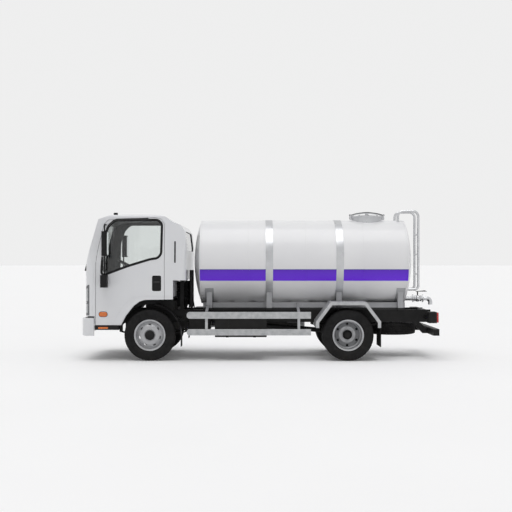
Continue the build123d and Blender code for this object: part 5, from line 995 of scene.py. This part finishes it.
# Behind the cab: a ribbed air hose, a rubber curtain on each side and thin lines along the frame
hoses = {
    "air": ((1.13, 0.31, 0.93), (1.24, 0.31, 0.93), (1.24, 0.21, 1.00), (1.38, 0.21, 1.00)),
    "bend": 0.05, "bendSteps": 9, "sharp": 60,
    "radius": 0.040, "rib": 0.0045, "pitch": 0.016, "steps": 160, "turns": 20,
    "lines": (((1.15, 0.30, 0.78), (1.15, 0.33, 1.02), (1.30, 0.33, 1.10), (1.34, 0.28, 1.10)),
              ((1.20, 0.345, 0.76), (1.20, 0.36, 0.95), (1.31, 0.36, 1.04), (1.36, 0.30, 1.04)),
              ((1.06, 0.345, 0.76), (1.10, 0.345, 1.00), (1.28, 0.345, 1.17), (1.35, 0.28, 1.17))),
    "lineBend": 0.06, "line": (0.009, 10),
    "curtain": ((1.257, 1.005), (0.172, 0.400), 0.02), "curtainReach": (0.300, 0.304), "curtainEdge": 0.001,
}


def ribbedHose():
    # the radius goes up and down along the run: radius + rib sin(2 pi run / pitch)
    path, run = evened(bent(hoses["air"], hoses["bend"], hoses["bendSteps"]), hoses["steps"])
    radii = hoses["radius"] + hoses["rib"] * np.sin(2 * np.pi * run / hoses["pitch"])
    return carried(path, radii[:, None, None] * circle(1.0, hoses["turns"])[None], (0, 0.2, 1))


curtain = slab(roundedBox(*hoses["curtain"]), *hoses["curtainReach"], "y", hoses["curtainEdge"])
linePaths = [bent(line, hoses["lineBend"]) for line in hoses["lines"]]
lines = [carried(path, circle(*hoses["line"]), (0, 1, 0.1)) for path in linePaths]
piece("airHose", ribbedHose(), "rubber", "chassis", hoses["sharp"])
piece("engineCurtain", bothSides(curtain), "rubber", "chassis")
piece("airLines", stacked(lines), "rubber", "chassis")
print("arches and hoses made")

# Seats: a crowned cushion with sewn channels, a leaning backrest and a moulded base on each side
seat = {
    "cushion": {"middle": (1.690, 0.43, 1.142), "size": (0.530, 0.462, 0.122), "power": 0.34, "crown": 0.16,
                "channels": ((0, 0.45), (1, 0.55), (1, -0.55)), "lean": 0.0},
    "back": {"middle": (1.537, 0.43, 1.492), "size": (0.600, 0.455, 0.094), "power": 0.36, "crown": 0.20,
             "channels": ((0, -0.5), (1, 0.55), (1, -0.55)), "lean": 79.8},
    "waist": 0.05, "swell": 1.4, "channelHalf": 0.008, "channelDepth": 0.010, "channelFrom": 0.2,
    "count": (48, 72), "base": ((1.604, 0.43), (0.340, 0.400), 0.03), "baseReach": (0.989, 1.090),
    "baseEdge": 0.008, "sharp": 60,
}


def signedPower(value, power):
    return np.sign(value) * np.abs(value) ** power


def makePad(pad):
    # a crowned closed pad: sine and cosine of two angles raised to a power, as on a rounded block, with
    # its sides pulled in at the middle, its top raised there and pressed in along each sewn channel
    rows, columns = seat["count"]
    tilt, angle = np.linspace(-np.pi / 2, np.pi / 2, rows)[:, None], turnAngles(columns)[None]
    x = signedPower(np.cos(tilt), pad["power"]) * signedPower(np.cos(angle), pad["power"])
    y = signedPower(np.cos(tilt), pad["power"]) * signedPower(np.sin(angle), pad["power"])
    z = signedPower(np.sin(tilt), pad["power"]) + 0 * angle
    pull = np.cos(x * np.pi / 2) * np.abs(y) ** 4 + np.cos(y * np.pi / 2) * np.abs(x) ** 4
    waist = 1 - seat["waist"] * pull
    swell = 1 - pad["crown"] + pad["crown"] * np.cos(x * seat["swell"]) * np.cos(y * seat["swell"])
    points = np.stack([x * waist, y * waist, z * swell], -1) * np.asarray(pad["size"]) / 2
    for axis, at in pad["channels"]:
        gap = (points[..., axis] - at * pad["size"][axis] / 2) / seat["channelHalf"]
        pressed = np.sign(z) * (z > seat["channelFrom"]) * seat["channelDepth"]
        points[..., 2] -= pressed * np.exp(-gap**2)
    lean = math.radians(pad["lean"])
    c, s = math.cos(lean), math.sin(lean)
    x, y, z = np.moveaxis(points, -1, 0)
    leaned = np.stack([c * x + s * z, y, c * z - s * x], -1)
    return leaned + np.asarray(pad["middle"]), gridQuads(rows, columns, False, True)


for name, key in (("seatCushions", "cushion"), ("seatBacks", "back")):
    shape = makePad(seat[key])
    for side, made in (("left", shape), ("right", mirrored(shape))):
        pad = piece(name + "_" + side, made, "cloth", "cab", seat["sharp"], ["seats"])
seatBase = slab(roundedBox(*seat["base"]), *seat["baseReach"], "z", seat["baseEdge"])
piece("seatBases", bothSides(seatBase), "trim", "cab", replaces=["seats"])
print("seats made")

# Tank: weld beads round the shell, the hatch's clamp bar with its knobs, and bolts on hatch and valve
tank = {"z": 1.515, "round": (0.6705, 180), "welds": (-2.270, -1.60, -0.70, 0.20, 0.942),
        "bead": (0.0035, 6), "sharp": 80}
hatch = {
    "clamp": ((-1.992, 0, 2.268), (-1.90, 0, 2.300), (-1.716, 0, 2.322), (-1.532, 0, 2.300),
              (-1.440, 0, 2.268)),
    "clampBend": 0.06, "clampBox": ((0, 0), (0.034, 0.012), 0.004, 3), "knobX": (-1.990, -1.442),
    "knob": ((0, 2.215), (0.010, 2.215), (0.012, 2.228), (0.009, 2.236), (0.009, 2.262), (0.014, 2.266),
             (0.014, 2.284), (0, 2.287)),
    "x": -1.716, "boltRing": 0.243, "bolts": 10, "boltRadius": 0.011, "boltHeight": 0.016, "start": 0.3,
    "knobTurns": 24, "rimHalf": 0.02, "upward": 0.7,
}
valve = {
    "body": ((0, -2.602), (0.030, -2.602), (0.046, -2.594), (0.048, -2.580), (0.041, -2.572),
             (0.041, -2.508), (0.048, -2.500), (0.046, -2.486), (0.030, -2.478), (0, -2.478)),
    "lever": ((-2.512, 0, 1.034), (-2.560, 0, 1.038), (-2.668, 0, 1.046)),
    "leverBox": ((0, 0), (0.022, 0.010), 0.004, 3), "z": 0.922, "boltRing": 0.051, "bolts": 6,
    "boltRadius": 0.007, "boltHeight": -0.008, "start": 0.4, "pipe": 0.04, "flangeTop": 0.975,
    "flangeRear": -2.7, "rearward": -0.9, "stemFrom": 0.985, "turns": 40,
}
weldRing = facing(0.0, *circle(*tank["round"]).T, "x")
weldPaths = [weldRing + (x, 0, tank["z"]) for x in tank["welds"]]
welds = [carried(path, circle(*tank["bead"]), (1, 0, 0), True) for path in weldPaths]
piece("tankWelds", stacked(welds), "tankPaint", "chassis", tank["sharp"])

clampPath = bent(hatch["clamp"], hatch["clampBend"])
clampBar = carried(clampPath, roundedBox(*hatch["clampBox"]), (0, 0, 1))
knobs = [turned(hatch["knob"], (x, 0, 0), "z", hatch["knobTurns"]) for x in hatch["knobX"]]
piece("hatchClamp", stacked([clampBar, *knobs]), "trim", "lid")
valveLever = carried(valve["lever"], roundedBox(*valve["leverBox"]), (0, 0, 1))
valveBody = turned(valve["body"], (0, 0, valve["z"]), "x", valve["turns"])
piece("valveBody", valveBody, "tubeSteel", "chassis")
piece("valveLever", valveLever, "plastic", "chassis")

# the bolts stand on the lid's rim and on the valve's flanges, as they lie in the frame
lidMiddle, lidNormal = faceArrays("hatch_lid")
fromHatch = np.hypot(lidMiddle[:, 0] - hatch["x"], lidMiddle[:, 1])
onRim = (np.abs(fromHatch - hatch["boltRing"]) < hatch["rimHalf"]) & (lidNormal[:, 2] > hatch["upward"])
rimZ = float(np.median(lidMiddle[onRim, 2]))
lidPlaces = ring((hatch["x"], 0, rimZ), hatch["boltRing"], hatch["bolts"], "z", hatch["start"])
lidBolts = hexagons(lidPlaces, "z", hatch["boltRadius"], hatch["boltHeight"])
piece("hatchBolts", lidBolts, "galvanised", "lid")
valveMiddle, valveNormal = faceArrays("outlet_valve")
fromPipe = np.hypot(valveMiddle[:, 1], valveMiddle[:, 2] - valve["z"])
onFlange = (fromPipe > valve["pipe"]) & (valveNormal[:, 0] < valve["rearward"])
onFlange &= (valveMiddle[:, 2] < valve["flangeTop"]) & (valveMiddle[:, 0] > valve["flangeRear"])
flanges = sorted({round(float(x), 3) for x in valveMiddle[onFlange, 0]})[:2]
nuts = []
for x in flanges:
    places = ring((x, 0, valve["z"]), valve["boltRing"], valve["bolts"], "x", valve["start"])
    nuts.append(hexagons(places, "x", valve["boltRadius"], valve["boltHeight"]))
piece("valveBolts", stacked(nuts), "galvanised", "chassis")
paintFaces("outlet_valve", ["tubeSteel", "plastic"], valveMiddle[:, 2] > valve["stemFrom"])
print("tank fittings made")

# Frame fittings: subframe and guard bolts, fenders dark inside, lamps at both ends
fittings = {
    "beamY": 0.380, "beamZ": 0.822, "beamX": np.arange(-2.05, 0.8, 0.35), "guardY": 0.934,
    "guardX": (0.844, -0.568), "guardZ": (0.4385, 0.697), "boltRadius": 0.011, "boltHeight": 0.010,
    "ribX": (-0.735, 1.125), "ribY": 0.934, "ribZ": (0.426, 0.451, 0.684, 0.710),
    "rib": ((0, 0), (0.007, 0.006), 0.002, 3), "fenderDepth": 0.05,
    "lampY": ((0.705, 0.768, "greyLens"), (0.772, 0.838, "amberLens"), (0.842, 0.901, "redLens")),
    "lampZ": (0.583, 0.737), "lampReach": (-2.706, -2.6775), "lampCorner": 0.010, "lampEdge": 0.003,
    "fogY": 0.640, "fogZ": 0.468, "fogReach": 0.04, "forward": 0.5, "fogTurns": 40,
    "fog": ((0, 0.010), (0.030, 0.009), (0.042, 0.005), (0.045, 0.0), (0.045, -0.002)),
    "fogRim": ((0.040, 0.004), (0.044, 0.009), (0.047, 0.010), (0.048, 0.0)),
}
beamPlaces = [(x, fittings["beamY"], fittings["beamZ"]) for x in fittings["beamX"]]
guardPlaces = [(x, fittings["guardY"], z) for x in fittings["guardX"] for z in fittings["guardZ"]]
for name, places in (("beamBolts", beamPlaces), ("guardBolts", guardPlaces)):
    heads = hexagons(places, "y", fittings["boltRadius"], fittings["boltHeight"])
    piece(name, bothSides(heads), "galvanised", "chassis")
ribEnds = [[(x, fittings["ribY"], z) for x in fittings["ribX"]] for z in fittings["ribZ"]]
ribs = [carried(np.linspace(*ends, 3), roundedBox(*fittings["rib"]), (0, 0, 1)) for ends in ribEnds]
piece("guardRibs", bothSides(stacked(ribs)), "galvanised", "chassis")

fenderMiddle, fenderNormal = faceArrays("rear_fenders")
toAxle = np.array([wheels["rearX"], wheels["z"]]) - fenderMiddle[:, [0, 2]]
insideFender = (fenderNormal[:, [0, 2]] * toAxle).sum(1) > fittings["fenderDepth"]
paintFaces("rear_fenders", ["galvanised", "plastic"], insideFender)

foot, top = fittings["lampZ"]
for low, high, lens in fittings["lampY"]:
    middle, size = ((low + high) / 2, (foot + top) / 2), (high - low, top - foot)
    outline = roundedBox(middle, size, fittings["lampCorner"])
    tailLens = slab(outline, *fittings["lampReach"], "x", fittings["lampEdge"])
    piece("tailLens_" + lens, bothSides(tailLens), lens, "chassis")
bumperMiddle, bumperNormal = faceArrays("front_bumper")
fromFog = np.hypot(bumperMiddle[:, 1] - fittings["fogY"], bumperMiddle[:, 2] - fittings["fogZ"])
inRecess = (fromFog < fittings["fogReach"]) & (bumperNormal[:, 0] > fittings["forward"])
fogPlace = (float(bumperMiddle[inRecess, 0].max()), fittings["fogY"], fittings["fogZ"])
for name, key, look in (("fogLenses", "fog", "clear"), ("fogRims", "fogRim", "chrome")):
    shape = turned(fittings[key], fogPlace, "x", fittings["fogTurns"])
    piece(name, bothSides(shape), look, "chassis")
print("frame fittings made")

# Stage: floor, world, lamp and the camera of the photograph
stage = {
    "floorTone": colour(250, 250, 250), "floorSecond": colour(248, 248, 248), "floorSize": 2000.0,
    "floorRough": 0.7, "floorSpec": 0.2, "floorCloud": 0.4, "floorGlow": 0.05,
    "backTone": (0.86, 0.86, 0.86, 1.0), "softLow": (0.36, 0.36, 0.364, 1.0),
    "softHigh": (0.66, 0.66, 0.665, 1.0), "sunStrength": 1.14, "sunAngle": 50.0, "sunTurn": (-12, 6, 0),
    "lens": 64.83, "sensor": 36.0, "cameraPlace": (0.0865, 15.0, 1.48), "aimRise": 0.130,
}


def seenDirectly(tree):
    # one for what the camera, metal and glass see, and zero for the light on the object
    path = tree.nodes.new("ShaderNodeLightPath")
    seen = mathOf(tree, "ADD", path.outputs["Is Camera Ray"], path.outputs["Is Glossy Ray"], True)
    return mathOf(tree, "ADD", seen, path.outputs["Is Transmission Ray"], True)


def makeFloor():
    size = stage["floorSize"]
    mesh = bpy.data.meshes.new("floor")
    corners = [(-size, -size, 0), (size, -size, 0), (size, size, 0), (-size, size, 0)]
    mesh.from_pydata(corners, [], [(0, 1, 2, 3)])
    material, tree, inputs, place = startMaterial(
        "floorPaint", stage["floorRough"], spec=stage["floorSpec"]
    )
    shown = mottled(tree, place, stage["floorTone"], stage["floorSecond"], stage["floorCloud"])
    join(tree, shown, inputs["Base Color"])
    inputs["Emission Color"].default_value = (1, 1, 1, 1)
    glow = mathOf(tree, "MULTIPLY", seenDirectly(tree), stage["floorGlow"])
    join(tree, glow, inputs["Emission Strength"])
    mesh.materials.append(material)
    floor = linked("floor", mesh)


def makeWorld():
    # the pale background for what is seen directly, and a soft light that grows overhead for the rest
    world = bpy.data.worlds.new("studio")
    world.use_nodes = True
    bpy.context.scene.world = world
    tree = world.node_tree
    height = axisOf(tree, tree.nodes.new("ShaderNodeTexCoord").outputs["Generated"], "Z")
    soft = mixOf(tree, rangeOf(tree, height, 0.0, 1.0), stage["softLow"], stage["softHigh"])
    shown = mixOf(tree, seenDirectly(tree), soft, stage["backTone"])
    join(tree, shown, tree.nodes["Background"].inputs["Color"])


def makeSun():
    lamp = bpy.data.lights.new("overhead", "SUN")
    lamp.energy, lamp.angle = stage["sunStrength"], math.radians(stage["sunAngle"])
    linked("overhead", lamp).rotation_euler = [math.radians(turn) for turn in stage["sunTurn"]]


def makeCamera():
    lens = bpy.data.cameras.new("camera")
    lens.lens, lens.sensor_width = stage["lens"], stage["sensor"]
    camera = linked("camera", lens)
    camera.location = stage["cameraPlace"]
    tilt = math.radians(90) + math.atan2(stage["aimRise"], stage["cameraPlace"][1])
    camera.rotation_euler = (tilt, 0, math.radians(180))
    bpy.context.scene.camera = camera


makeFloor()
makeWorld()
makeSun()
makeCamera()
bpy.context.scene.view_settings.view_transform = "Standard"
print("stage set")
